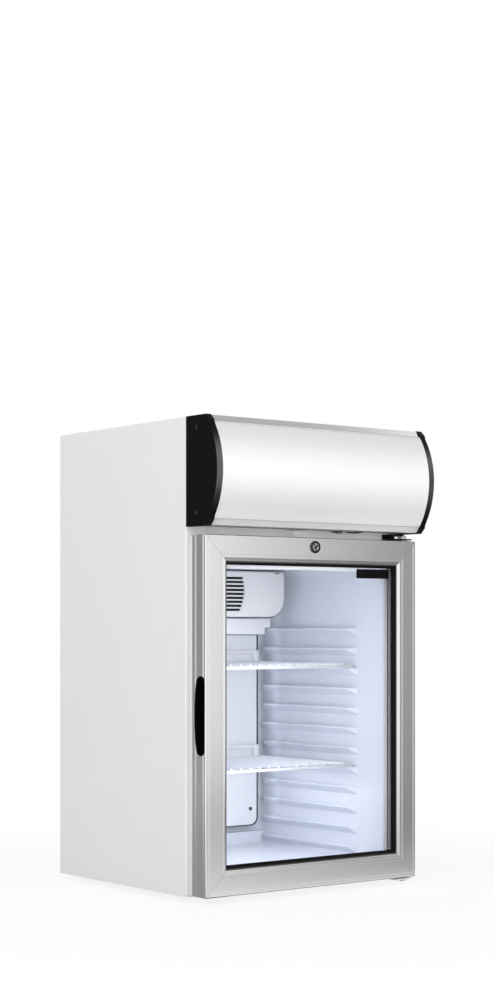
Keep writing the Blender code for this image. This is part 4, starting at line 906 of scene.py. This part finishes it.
def glazing_loop(inset, y, low):
    """Loop at a distance in from the door's edges, with the lower run raised a little more."""
    x = DOOR_HALF - inset
    return upright_loop(-x, x, DOOR_BOTTOM + inset + low, DOOR_TOP - inset, y)


def make_glazing_strip():
    """Wedge seal that fills the corner between the frame's inner edge and the outer pane."""
    seat = GLAZING_LOW.y
    back = GLAZING_HIGH.y
    edge = FRAME_FACE + FIT
    nose = GLAZING_NOSE
    tip = GLAZING_TIP
    profile = [(GLAZING_SEAT, seat, 0.0), (edge, seat, 0.0), (edge, nose, 0.0),
               (edge + 0.0008, nose - 0.0003, 0.0), (edge + 0.0016, nose + 0.0002, 0.0),
               (tip - 0.0004, back - 0.0008, SHOW_LOW), (tip, back, SHOW_LOW), (GLAZING_SEAT, back, 0.0)]
    strip = stand_in("glazing_gasket", skin([glazing_loop(*row) for row in profile], True))
    repaint(strip, BEAD_LOOK, lambda face: face.center.y < nose + 0.0002)


make_glazing_strip()

SPACER_LOW, SPACER_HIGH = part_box("glazing_spacer")
SPACER_WIDTH = 0.0090
HOLE_RATE = 380.0
HOLE_SIZE = 0.33
HOLE_COLOUR = (0.30, 0.30, 0.31, 1.0)


def perforated():
    """Dark spacer bar with a row of small pale beads of desiccant showing through its holes."""
    mat = finish("perforated_spacer", (0.008, 0.008, 0.008), 0.50, 0.0, 600.0, shade=0.03, gloss=0.03,
                 relief=0.03)
    tree = mat.node_tree
    shader = tree.nodes["Principled BSDF"]
    colour = shader.inputs["Base Color"].links[0].from_socket
    across = 1.0 / (SPACER_HIGH.y - SPACER_LOW.y)
    middle = 0.5 - across * (SPACER_HIGH.y + SPACER_LOW.y) / 2
    aim = add(tree, "Mapping", {"Vector": object_place(tree), "Location": (0.0, middle, 0.0),
                                "Scale": (HOLE_RATE, across, HOLE_RATE)})
    cell = add(tree, "VectorMath", {0: aim}, operation="FRACTION")
    off = add(tree, "VectorMath", {0: cell, 1: (0.5, 0.5, 0.5)}, operation="SUBTRACT")
    flat = add(tree, "VectorMath", {0: off, 1: (0.0, 1.0, 1.0)}, operation="MULTIPLY")
    far = add(tree, "VectorMath", {0: flat}, operation="LENGTH")
    hole = add(tree, "Math", {0: far, 1: HOLE_SIZE}, operation="LESS_THAN")
    feed(tree, shader, {"Base Color": blend(tree, hole, colour, HOLE_COLOUR)})
    return mat


def spacer_loop(inset, y):
    return upright_loop(SPACER_LOW.x + inset, SPACER_HIGH.x - inset, SPACER_LOW.z + inset,
                        SPACER_HIGH.z - inset, y)


loops = [spacer_loop(0.0, SPACER_LOW.y), spacer_loop(0.0, SPACER_HIGH.y),
         spacer_loop(SPACER_WIDTH, SPACER_HIGH.y), spacer_loop(SPACER_WIDTH, SPACER_LOW.y)]
stand_in("glazing_spacer", skin(loops, True), perforated())

# Inside the cabinet

COVER_LOW, COVER_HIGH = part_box("evaporator_cover")
COVER_CORNER = 0.030
COVER_EDGE = 0.0075
COVER_DROP = 0.0006
COVER_WALL = 0.002
COVER_ROUND = 0.0035
COVER_RIM = 0.0014
RIM_DEPTH = 0.003
SLOT_COUNT = 9
SLOT_PITCH = 0.006
SLOT_HEIGHT = 0.0038
SLOT_END = SLOT_HEIGHT * 0.45
TOP_SLOT = COVER_HIGH.z - 0.013
GRILLE_RADIUS = 0.060
GRILLE_DROP = 0.031
CLIP_INSET = 0.0165
CLIP_HALF = 0.005
CLIP_LOW = COVER_HIGH.z - 0.0058
CLIP_TOP = COVER_HIGH.z - 0.0040
SCREEN_WALL = 0.0008


def cover_ring(inset, y):
    outline = rounded(COVER_LOW.x + inset, COVER_HIGH.x - inset, COVER_LOW.z + inset,
                      COVER_HIGH.z - inset - COVER_DROP, COVER_CORNER - inset, COVER_EDGE - inset, 10)
    return ring_at("Y", outline, y)


def make_cover():
    """Evaporator cover with louvre slots and a clip slot at each end; a dark rim around it paints the shadow
    gap, and a black sheet inside paints the shade seen through the slots.
    """
    front = COVER_LOW.y
    pocket = COVER_RIM + COVER_WALL
    rings = [cover_ring(pocket, front + COVER_WALL), cover_ring(pocket, COVER_HIGH.y),
             cover_ring(COVER_RIM, COVER_HIGH.y)]
    for u, v in arc(0.0, 0.0, COVER_ROUND, 0, 90, 6):
        rings.append(cover_ring(COVER_RIM + COVER_ROUND - u, front + COVER_ROUND - v))
    cover = stand_in("evaporator_cover", skin(rings), COVER_SHADE_LOOK)
    # A dark ring behind the cover's front edge paints the shadow gap around it
    near = front + COVER_ROUND + 0.0004
    seat = COVER_RIM + FIT / 3
    band = [cover_ring(seat, near), cover_ring(0.0, near), cover_ring(0.0, near + RIM_DEPTH),
            cover_ring(seat, near + RIM_DEPTH)]
    piece("cover_shadow_rim", skin(band, True), "black_rubber", "cabinet", look=SHADOW_GAP_LOOK)
    slots = bmesh.new()
    through = front + COVER_WALL + 0.001
    for index in range(SLOT_COUNT):
        z = TOP_SLOT - SLOT_PITCH * index
        reach = math.sqrt(GRILLE_RADIUS ** 2 - (z - COVER_HIGH.z + GRILLE_DROP) ** 2)
        outline = rounded(-reach, reach, z - SLOT_HEIGHT / 2, z + SLOT_HEIGHT / 2, SLOT_END, SLOT_END, 4)
        prism("Y", front - PAST, through, outline, slots)
    for x in (COVER_LOW.x + CLIP_INSET, COVER_HIGH.x - CLIP_INSET):
        clip = rectangle(x - CLIP_HALF, x + CLIP_HALF, CLIP_LOW, CLIP_TOP)
        prism("Y", front - PAST, through, clip, slots)
    carve(cover, slots)
    # A black sheet behind the slots paints the shade seen through them
    middle = COVER_HIGH.z - GRILLE_DROP
    half = GRILLE_RADIUS + 0.004
    outline = rounded(-half, half, middle - 0.036, middle + 0.024, 0.010, 0.004)
    behind = front + COVER_WALL + FIT
    piece("louvre_shade_sheet", prism("Y", behind, behind + SCREEN_WALL, outline), "black_abs", "cabinet",
          look=RECESS_SHADE_LOOK)


make_cover()

DUCT_LOW, DUCT_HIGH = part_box("duct_panel")
BAND_PROUD = 0.005
BAND_DROP = 0.012
BAND_RISE = 0.0165
BAND_SINK = 0.0008
DUCT_FACE = DUCT_LOW.y + BAND_PROUD
DUCT_FOOT = DUCT_LOW.z + 0.0062
DUCT_CORNER = 0.012
DUCT_TOP_CORNER = 0.0020
DUCT_ROUND = 0.0016
STRIP_SIDE = 0.0030
STRIP_FOOT = 0.0014
STRIP_CORNER = 0.0010
STRIP_BACK = 0.0012
# Section of a raised band, from its outer edge to the panel inside it: distance in at the ends, at the long
# edges, and place from front to back
BAND_ROWS = ((0.0, 0.0, DUCT_FACE + 0.0005), (0.0, 0.0, DUCT_LOW.y + 0.0010), (0.0010, 0.0010, DUCT_LOW.y),
             (0.0100, 0.0045, DUCT_LOW.y), (0.0110, 0.0055, DUCT_LOW.y + 0.0010),
             (0.0110, 0.0055, DUCT_FACE - BAND_SINK))


def duct_ring(inset, y):
    outline = rounded(DUCT_LOW.x + inset, DUCT_HIGH.x - inset, DUCT_FOOT + inset, DUCT_HIGH.z - inset,
                      DUCT_CORNER - inset, DUCT_TOP_CORNER - inset)
    return ring_at("Y", outline, y)


def make_duct():
    """Air duct cover: a shallow pan with round lower corners, two raised bands, and dark strips at its edges
    that paint the shadow gaps beside it.
    """
    rings = [duct_ring(0.0, DUCT_HIGH.y)]
    for u, v in arc(0.0, 0.0, DUCT_ROUND, 0, 90, 4):
        rings.append(duct_ring(DUCT_ROUND - u, DUCT_FACE + DUCT_ROUND - v))
    stand_in("duct_panel", skin(rings))
    bands = bmesh.new()
    for shelf in ("shelf_upper", "shelf_lower"):
        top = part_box(shelf)[1].z
        rings = []
        for wide, tall, y in BAND_ROWS:
            rings.append(upright_loop(DUCT_LOW.x + wide, DUCT_HIGH.x - wide, top - BAND_DROP + tall,
                                      top + BAND_RISE - tall, y))
        skin(rings, bm=bands)
    piece("duct_bands", bands, "white_abs", "cabinet")
    # Dark strips beside the panel's edges paint the shadow gaps there
    inner = rounded(DUCT_LOW.x - FIT, DUCT_HIGH.x + FIT, DUCT_FOOT - FIT, DUCT_HIGH.z, DUCT_CORNER,
                    STRIP_CORNER)
    outer = rounded(DUCT_LOW.x - STRIP_SIDE, DUCT_HIGH.x + STRIP_SIDE, DUCT_FOOT - STRIP_FOOT,
                    DUCT_HIGH.z + FIT, DUCT_CORNER + 0.001, STRIP_CORNER)
    near = DUCT_FACE + STRIP_BACK
    rings = [ring_at("Y", inner, near), ring_at("Y", outer, near), ring_at("Y", outer, DUCT_HIGH.y),
             ring_at("Y", inner, DUCT_HIGH.y)]
    piece("duct_shadow_strip", skin(rings, True), "black_rubber", "cabinet", look=SHADOW_GAP_LOOK)


make_duct()

SHELF_ROD = 0.00225
SHELF_WIRE = 0.0015
SHELF_WIRES = 17
SHELF_BEND = 0.008
SHELF_RAIL = 0.0040
SHELF_RAIL_DEPTH = 0.0036
SHELF_RAIL_ROUND = 0.0016
WIRE_START = 0.002


def make_shelf(node):
    """Wire shelf: flat front rail, bent side and rear rod, one cross rod and a row of wires on top."""
    low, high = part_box(node)
    rod_z = low.z + SHELF_ROD
    wire_z = high.z - SHELF_WIRE
    side = high.x - SHELF_ROD
    front = low.y + WIRE_START
    rear = high.y - SHELF_ROD
    every = block(low.x, high.x, low.y, low.y + SHELF_RAIL_DEPTH, low.z, low.z + SHELF_RAIL)
    soften(every, SHELF_RAIL_ROUND, 4)
    bend = arc(-side + SHELF_BEND, rear - SHELF_BEND, SHELF_BEND, 180, 90, 6)
    bend += arc(side - SHELF_BEND, rear - SHELF_BEND, SHELF_BEND, 90, 0, 6)
    rod(ring_at("Z", [(-side, front)] + bend + [(side, front)], rod_z), SHELF_ROD, bm=every)
    middle = (low.y + rear) / 2 + 0.003
    rod([(-side, middle, rod_z), (side, middle, rod_z)], SHELF_ROD * 0.9, bm=every)
    pitch = 2 * side / (SHELF_WIRES + 1)
    for index in range(SHELF_WIRES):
        x = -side + pitch * (index + 1)
        rod([(x, front, wire_z), (x, high.y - 0.001, wire_z)], SHELF_WIRE, 8, every)
    # The front rail takes the darker coat: painted shade
    repaint(stand_in(node, every), RAIL_SHADE_COAT, lambda face: face.center.y < low.y + SHELF_RAIL_DEPTH + 0.0001
            and face.center.z < low.z + SHELF_RAIL + FIT)


make_shelf("shelf_upper")
make_shelf("shelf_lower")

SWITCH_LOW, SWITCH_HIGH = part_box("light_switch")
SWITCH_WIDE = 0.0080
SWITCH_EDGE = 0.0032
SWITCH_ROOM = 0.0007
SWITCH_BEVEL = 0.0005


def make_switch_bezel():
    """Thin dark plate on the canopy's underside, around the light switch."""
    rings = []
    for wide, edge, drop in ((SWITCH_WIDE, SWITCH_EDGE, 0.0001), (SWITCH_WIDE, SWITCH_EDGE, 0.0005),
                             (SWITCH_WIDE - SWITCH_BEVEL, SWITCH_EDGE - SWITCH_BEVEL, 0.0009),
                             (SWITCH_ROOM, SWITCH_ROOM, 0.0009), (SWITCH_ROOM, SWITCH_ROOM, 0.0001)):
        outline = rectangle(SWITCH_LOW.x - wide, SWITCH_HIGH.x + wide, SWITCH_LOW.y - edge,
                            SWITCH_HIGH.y + edge)
        rings.append(ring_at("Z", outline, CANOPY_LOW - drop))
    piece("switch_bezel", skin(rings, True), "black_abs", "cabinet")


make_switch_bezel()

# Small fasteners and the blank plate on the glass

SCREW_RADIUS = 0.0030
CANOPY_SCREW_HEAD = 0.0010
PANEL_SCREW_HEAD = 0.0018


def screw(name, place, facing, radius, head, slot, stands_for=()):
    """Pan-head screw with a cross recess; place is the seat of its head and facing the way it looks."""
    profile = [(radius, 0.0)]
    for degrees in (0, 20, 40, 60, 78):
        angle = math.radians(degrees)
        profile.append((radius * math.cos(angle), head * (0.25 + 0.75 * math.sin(angle))))
    obj = piece(name, turned("Z", 0.0, 0.0, profile, 32), slot, "cabinet", stands_for)
    for long, wide in ((radius * 0.62, radius * 0.14), (radius * 0.14, radius * 0.62)):
        carve(obj, block(-long, long, -wide, wide, head * 0.45, head * 2))
    turn = Vector((0.0, 0.0, 1.0)).rotation_difference(Vector(facing)).to_matrix().to_4x4()
    obj.data.transform(Matrix.Translation(Vector(place)) @ turn)


for node in ("canopy_screw_left_upper", "canopy_screw_left_lower", "canopy_screw_right_upper",
             "canopy_screw_right_lower"):
    low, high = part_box(node)
    side = 1.0 if low.x > 0 else -1.0
    seat = (side * (CAP_X + FIT / 2), (low.y + high.y) / 2, (low.z + high.z) / 2)
    screw(node + "_fine", seat, (side, 0.0, 0.0), SCREW_RADIUS, CANOPY_SCREW_HEAD, "black_paint", (node,))

DUCT_SCREW_X = 0.126
DUCT_SCREW_Z = DUCT_LOW.z + 0.0315
for name, side in (("duct_screw_left", -1), ("duct_screw_right", 1)):
    screw(name, (side * DUCT_SCREW_X, DUCT_FACE, DUCT_SCREW_Z), (0.0, -1.0, 0.0), SCREW_RADIUS,
          PANEL_SCREW_HEAD, "black_paint")

BOLT_X = BRACKET_LOW.x + 0.0085
BOLT_RADIUS = 0.0044
BOLT_CROWN = 0.0036


def make_hinge_bolt():
    """Hexagon bolt beside the pin on the hinge plate."""
    rings = []
    for radius, rise in ((BOLT_RADIUS, 0.0), (BOLT_RADIUS, 0.0032), (BOLT_CROWN, 0.0038)):
        rings.append(ring_at("Z", arc(BOLT_X, PIVOT_Y, radius, 0, 300, 5), PLATE_TOP + rise))
    piece("hinge_bolt", skin(rings), "zinc_steel", "cabinet", look=LOOKS["polished_chrome"])


make_hinge_bolt()

BLANK_LEFT = 0.0823
BLANK_RIGHT = 0.1443
BLANK_TOP = 0.4560
BLANK_LOW = 0.4428
BLANK_ROUND = 0.0012
blank = prism("Y", PANE_FACE - 0.0003, PANE_FACE - 0.00005,
              rounded(BLANK_LEFT, BLANK_RIGHT, BLANK_LOW, BLANK_TOP, BLANK_ROUND, BLANK_ROUND, 4))
piece("blank_plate", blank, "black_abs", "door")

# Rear and underside: feet, dial, cord gland, panel screws and condenser wires

# Section of a foot from the ground up: distance in from its rim and height above the ground
FOOT_ROWS = ((0.0028, 0.0), (0.0014, 0.0008), (0.0008, 0.0022), (0.0016, 0.0028), (0.0016, 0.0036),
             (0.0004, 0.0042))
for node in ("foot_front_left", "foot_front_right", "foot_rear_left", "foot_rear_right"):
    low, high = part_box(node)
    rim = (high.x - low.x) / 2
    profile = [(rim - inset, low.z + rise) for inset, rise in FOOT_ROWS]
    profile += [(rim, high.z - 0.0008), (rim - 0.0006, high.z)]
    stand_in(node, turned("Z", (low.x + high.x) / 2, (low.y + high.y) / 2, profile, 40))

KNOB_LOW, KNOB_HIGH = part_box("thermostat_knob")
KNOB_FACE = BODY_REAR + FIT + 0.0007
KNOB_STEM = 0.003
GRIP_HALF = 0.002
LINE_HALF = 0.0006
FLUTES = 24
# Section of the dial: share of its radius, depth of the flutes and height above its base
KNOB_ROWS = ((0.95, 0.0, 0.0), (1.0, 0.03, 0.0008), (1.0, 0.06, 0.0090), (0.96, 0.03, 0.0108),
             (0.88, 0.0, 0.0120))


def make_knob():
    """Fluted dial with a raised grip bar and a pale pointer line."""
    x = (KNOB_LOW.x + KNOB_HIGH.x) / 2
    z = (KNOB_LOW.z + KNOB_HIGH.z) / 2
    radius = (KNOB_HIGH.x - KNOB_LOW.x) / 2
    rings = []
    for reach, depth, rise in KNOB_ROWS:
        ring = []
        for i in range(FLUTES * 4):
            angle = 2 * math.pi * i / (FLUTES * 4)
            away = radius * reach * (1.0 - depth * (0.5 - 0.5 * math.cos(FLUTES * angle)))
            ring.append(spot("Y", x + away * math.cos(angle), z + away * math.sin(angle), KNOB_FACE + rise))
        rings.append(ring)
    knob = stand_in("thermostat_knob", skin(rings))
    grip = block(x - GRIP_HALF, x + GRIP_HALF, KNOB_FACE + 0.010, KNOB_HIGH.y, z - radius + 0.002,
                 z + radius - 0.002)
    carve(knob, soften(grip, 0.0008, 2), "UNION")
    carve(knob, cylinder("Y", x, z, KNOB_STEM, KNOB_LOW.y, KNOB_FACE + 0.001, 24), "UNION")
    line = block(x - LINE_HALF, x + LINE_HALF, KNOB_HIGH.y - 0.0004, KNOB_HIGH.y, z + 0.004,
                 z + radius - 0.0032)
    piece("knob_line", line, "white_abs", BODY_OF["thermostat_knob"])


make_knob()

GLAND_LOW, GLAND_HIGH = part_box("cord_gland")
GLAND_BORE = 0.0040
GLAND_NECK = 0.0075
GLAND_FLANGE = 0.0120
GLAND_SLEEVE = 0.0096
GLAND_TAPER = 0.0004
GLAND_RIBS = 4
GLAND_PITCH = 0.0021
GLAND_GROOVE = 0.0014


def make_gland():
    """Cord bushing with a flange and a ribbed, tapering sleeve."""
    out = BODY_REAR + FIT
    profile = [(GLAND_BORE, GLAND_LOW.y), (GLAND_NECK, GLAND_LOW.y), (GLAND_NECK, out), (GLAND_FLANGE, out),
               (GLAND_FLANGE, out + 0.0024), (GLAND_FLANGE - 0.0006, out + 0.0030)]
    for index in range(GLAND_RIBS):
        radius = GLAND_SLEEVE - GLAND_TAPER * index
        groove = radius - GLAND_GROOVE
        y = out + 0.0034 + GLAND_PITCH * index
        profile += [(radius, y), (radius, y + 0.0012), (groove, y + 0.0014), (groove, y + 0.0019)]
    profile += [(0.0080, GLAND_HIGH.y), (GLAND_BORE, GLAND_HIGH.y)]
    middle = (GLAND_LOW + GLAND_HIGH) / 2
    stand_in("cord_gland", turned("Y", middle.x, middle.z, profile, 40, True))


make_gland()

GRILLE_LOW, GRILLE_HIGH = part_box("rear_grille")
GRILLE_SCREW_INSET = 0.008
GRILLE_SCREW_RADIUS = 0.0034
for row, z in (("lower", GRILLE_LOW.z + GRILLE_SCREW_INSET), ("upper", GRILLE_HIGH.z - GRILLE_SCREW_INSET)):
    for column, x in (("left", GRILLE_LOW.x + GRILLE_SCREW_INSET), ("middle", 0.0),
                      ("right", GRILLE_HIGH.x - GRILLE_SCREW_INSET)):
        screw("grille_screw_" + column + "_" + row, (x, BODY_REAR, z), (0.0, 1.0, 0.0), GRILLE_SCREW_RADIUS,
              PANEL_SCREW_HEAD, "zinc_steel")

COIL_LOW, COIL_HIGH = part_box("condenser_coil")
COIL_Y = BODY_REAR + 0.020
TUBE_RADIUS = 0.0025
WIRE_RADIUS = 0.0007
WIRE_PITCH = 0.0062
WIRE_HALF = 0.128
WIRE_LOW = COIL_LOW.z + 0.006
WIRE_TOP = COIL_HIGH.z - 0.020
wires = bmesh.new()
gaps = int(2 * WIRE_HALF / WIRE_PITCH)
for index in range(gaps + 1):
    x = -WIRE_HALF + 2 * WIRE_HALF * index / gaps
    for y in (COIL_Y - TUBE_RADIUS - WIRE_RADIUS, COIL_Y + TUBE_RADIUS + WIRE_RADIUS):
        rod([(x, y, WIRE_LOW), (x, y, WIRE_TOP)], WIRE_RADIUS, 6, wires)
piece("condenser_wires", wires, "black_paint", "cabinet")

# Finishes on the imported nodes

for name, item in frame["nodes"].items():
    item.data.materials[0] = LOOKS[SLOT_OF[name]]

# Studio

AMBIENT = 0.62
FLOOR_SIZE = 6.0
FLOOR_WHITE = 0.86
SHADOW_START = 0.35
SHADOW_REACH = 0.9


def white_rays(tree):
    """1 for what is seen straight, in metal or through glass."""
    rays = add(tree, "LightPath").outputs
    direct = add(tree, "Math", {0: rays["Is Camera Ray"], 1: rays["Is Glossy Ray"]}, operation="MAXIMUM")
    return add(tree, "Math", {0: direct, 1: rays["Is Transmission Ray"]}, operation="MAXIMUM")


def bare_material(name):
    """A material with nothing but its output."""
    mat = bpy.data.materials.new(name)
    mat.use_nodes = True
    mat.node_tree.nodes.remove(mat.node_tree.nodes["Principled BSDF"])
    return mat


def sheet_of(name, segments, size, mat):
    """A flat square in the studio, which isn't part of the object."""
    bm = bmesh.new()
    bmesh.ops.create_grid(bm, x_segments=segments, y_segments=segments, size=size)
    mesh = mesh_of(name, bm)
    mesh.materials.append(mat)
    obj = put(name, mesh)
    obj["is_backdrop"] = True
    return obj


def make_world():
    world = bpy.data.worlds.new("studio")
    bpy.context.scene.world = world
    world.use_nodes = True
    tree = world.node_tree
    level = add(tree, "MapRange", {"Value": white_rays(tree), "To Min": AMBIENT, "To Max": 1.0})
    feed(tree, tree.nodes["Background"], {"Color": WHITE, "Strength": level})


def make_floor():
    """Matt floor that takes the object's shadow and turns plain white further out."""
    mat = bare_material("floor")
    tree = mat.node_tree
    matt = add(tree, "BsdfDiffuse", {"Color": (0.93, 0.93, 0.93, 1.0)})
    white = add(tree, "Emission", {"Strength": 1.0})
    away = add(tree, "VectorMath", {0: object_place(tree)}, operation="LENGTH")
    fade = add(tree, "MapRange", {"Value": away, "From Min": SHADOW_START, "From Max": SHADOW_REACH,
                                  "To Min": FLOOR_WHITE, "To Max": 1.0})
    share = add(tree, "Math", {0: white_rays(tree), 1: fade}, operation="MULTIPLY")
    show(tree, add(tree, "MixShader", {"Fac": share, 1: matt, 2: white}))
    sheet_of("floor", 2, FLOOR_SIZE, mat)


def card(name, centre, facing, across, width, height, first, last):
    """A card that only metal and gloss see, shading from one (place, grey) to another along its width."""
    mat = bare_material(name)
    tree = mat.node_tree
    split = add(tree, "SeparateXYZ", {"Vector": object_place(tree)})
    tone = add(tree, "MapRange", {"Value": split.outputs["X"], "From Min": first[0] / width,
                                  "From Max": last[0] / width, "To Min": first[1], "To Max": last[1]})
    show(tree, add(tree, "Emission", {"Strength": tone}))
    obj = sheet_of(name, 1, 0.5, mat)
    obj.location = centre
    obj.rotation_mode = "QUATERNION"
    obj.rotation_quaternion = Matrix((across, facing.cross(across), facing)).transposed().to_quaternion()
    obj.scale = (width, height, 1.0)
    obj.visible_camera = False
    obj.visible_diffuse = False
    obj.visible_shadow = False
    obj.visible_transmission = False


def lamp(name, place, aim, width, height, power, colour=(1.0, 1.0, 1.0)):
    """A rectangular lamp that lights but isn't seen, not in metal or through glass either."""
    data = bpy.data.lights.new(name, "AREA")
    data.shape = "RECTANGLE"
    data.size = width
    data.size_y = height
    data.energy = power
    data.color = colour
    obj = put(name, data)
    obj.location = place
    obj.rotation_mode = "QUATERNION"
    obj.rotation_quaternion = (Vector(aim) - Vector(place)).to_track_quat("-Z", "Y")
    obj.visible_camera = False
    obj.visible_glossy = False
    obj.visible_transmission = False


make_world()
make_floor()

# Cards that the metal mirrors: front right, rear left, on the floor and above
FRONT_TURN = math.radians(39.5)
FRONT_RIGHT = Vector((math.sin(FRONT_TURN), -math.cos(FRONT_TURN), 0.0))
SIDEWAYS = Vector((-FRONT_RIGHT.y, FRONT_RIGHT.x, 0.0))
REAR_LEFT = Vector((-0.62, 0.785, 0.0)).normalized()
RIGHT = Vector((1.0, 0.0, 0.0))
UP = Vector((0.0, 0.0, 1.0))
BESIDE = REAR_LEFT.cross(UP)
ON_FLOOR = UP * 0.002
DOOR_FACE = Vector((0.0, DOOR_FRONT, 0.0))


def even_card(name, centre, facing, across, width, height, grey):
    card(name, centre, facing, across, width, height, (-0.5, grey), (0.5, grey))


card("card_front", DOOR_FACE + FRONT_RIGHT * 1.5 - SIDEWAYS * 0.39 + UP * 0.55, -FRONT_RIGHT, SIDEWAYS,
     1.62, 1.1, (0.08, 1.0), (0.74, 0.03))
card("card_floor", DOOR_FACE + Vector((0.3, -0.75, 0.0)) + ON_FLOOR, UP, RIGHT, 2.4, 1.4, (-0.7, 0.88),
     (0.3, 0.20))
even_card("card_rear_left", REAR_LEFT * 1.78 + UP * 0.9, -REAR_LEFT, BESIDE, 1.25, 1.9, 0.25)
even_card("card_floor_left", REAR_LEFT * 0.75 - BESIDE * 0.27 + ON_FLOOR, UP, BESIDE, 0.9, 1.6, 0.28)
even_card("card_above", UP * 2.2, -UP, RIGHT, 3.0, 3.0, 0.45)

# Lamps outside, then small ones that even out the light inside and in the gap over the door
COOL = (0.83, 0.905, 1.0)
MILD = (0.89, 0.935, 1.0)
PALE = (0.95, 0.97, 1.0)
LAMP_LOW, LAMP_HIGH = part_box("interior_lamp")
LAMP_Y = (LAMP_LOW.y + LAMP_HIGH.y) / 2
FILL_X = -0.040
FILL_Z = FLOOR + 0.205
EDGE_Z = FLOOR + 0.22
CORNER_X = COVER_HIGH.x + 0.006
CORNER_Y = INSIDE_REAR - 0.050
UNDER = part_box("shelf_lower")[0].z - 0.006
GAP_Z = (DOOR_TOP + CANOPY_LOW) / 2
lamp("key_left", (-2.2, -0.8, 1.8), (0.0, 0.0, 0.35), 1.6, 1.6, 24.0)
lamp("fill_front", (0.0, -2.8, 0.55), (0.0, 0.0, 0.45), 2.2, 0.9, 20.0)
lamp("inside_lamp", (0.0, LAMP_Y, LAMP_LOW.z - 0.002), (0.0, 0.03, 0.0), LAMP_HIGH.x - LAMP_LOW.x, 0.012,
     0.048, COOL)
lamp("inside_fill", (FILL_X, DOOR_REAR - 0.003, FILL_Z), (FILL_X, INSIDE_REAR, FILL_Z), 0.10, 0.33, 0.375,
     MILD)
lamp("edge_fill", (0.04, PANE_FACE - 0.0025, EDGE_Z), (INSIDE_X, INSIDE_FRONT, EDGE_Z), 0.006, 0.38, 0.075,
     PALE)
lamp("lip_fill", (0.066, PANE_FACE - 0.09, EDGE_Z), (INSIDE_X + 0.002, INSIDE_FRONT, EDGE_Z), 0.010, 0.40,
     0.054, PALE)
lamp("corner_fill", (CORNER_X, CORNER_Y, EDGE_Z), (INSIDE_X, INSIDE_REAR, EDGE_Z), 0.012, 0.37, 0.011, COOL)
lamp("under_shelf", (0.0, -0.01, UNDER), (0.0, 0.0, FLOOR), 0.27, 0.17, 0.150, PALE)
lamp("gap_fill", (0.0, CANOPY_FRONT + 0.012, GAP_Z), (0.0, BODY_FRONT, GAP_Z - 0.001), 0.36, 0.004, 0.014)


def make_camera():
    data = bpy.data.cameras.new("camera")
    data.sensor_width = SENSOR
    data.lens = SENSOR * FOCAL_PIXELS / IMAGE_HEIGHT
    data.shift_y = (HORIZON_ROW - IMAGE_HEIGHT / 2) / IMAGE_HEIGHT
    obj = put("camera", data)
    obj.location = CAMERA_PLACE
    obj.rotation_euler = (math.radians(90.0), 0.0, CAMERA_TURN)
    bpy.context.scene.camera = obj


make_camera()
bpy.context.scene.view_settings.view_transform = "Standard"

low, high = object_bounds()
{"cad": [list(CAD_LOW), list(CAD_HIGH)], "visual": [list(low), list(high)]}
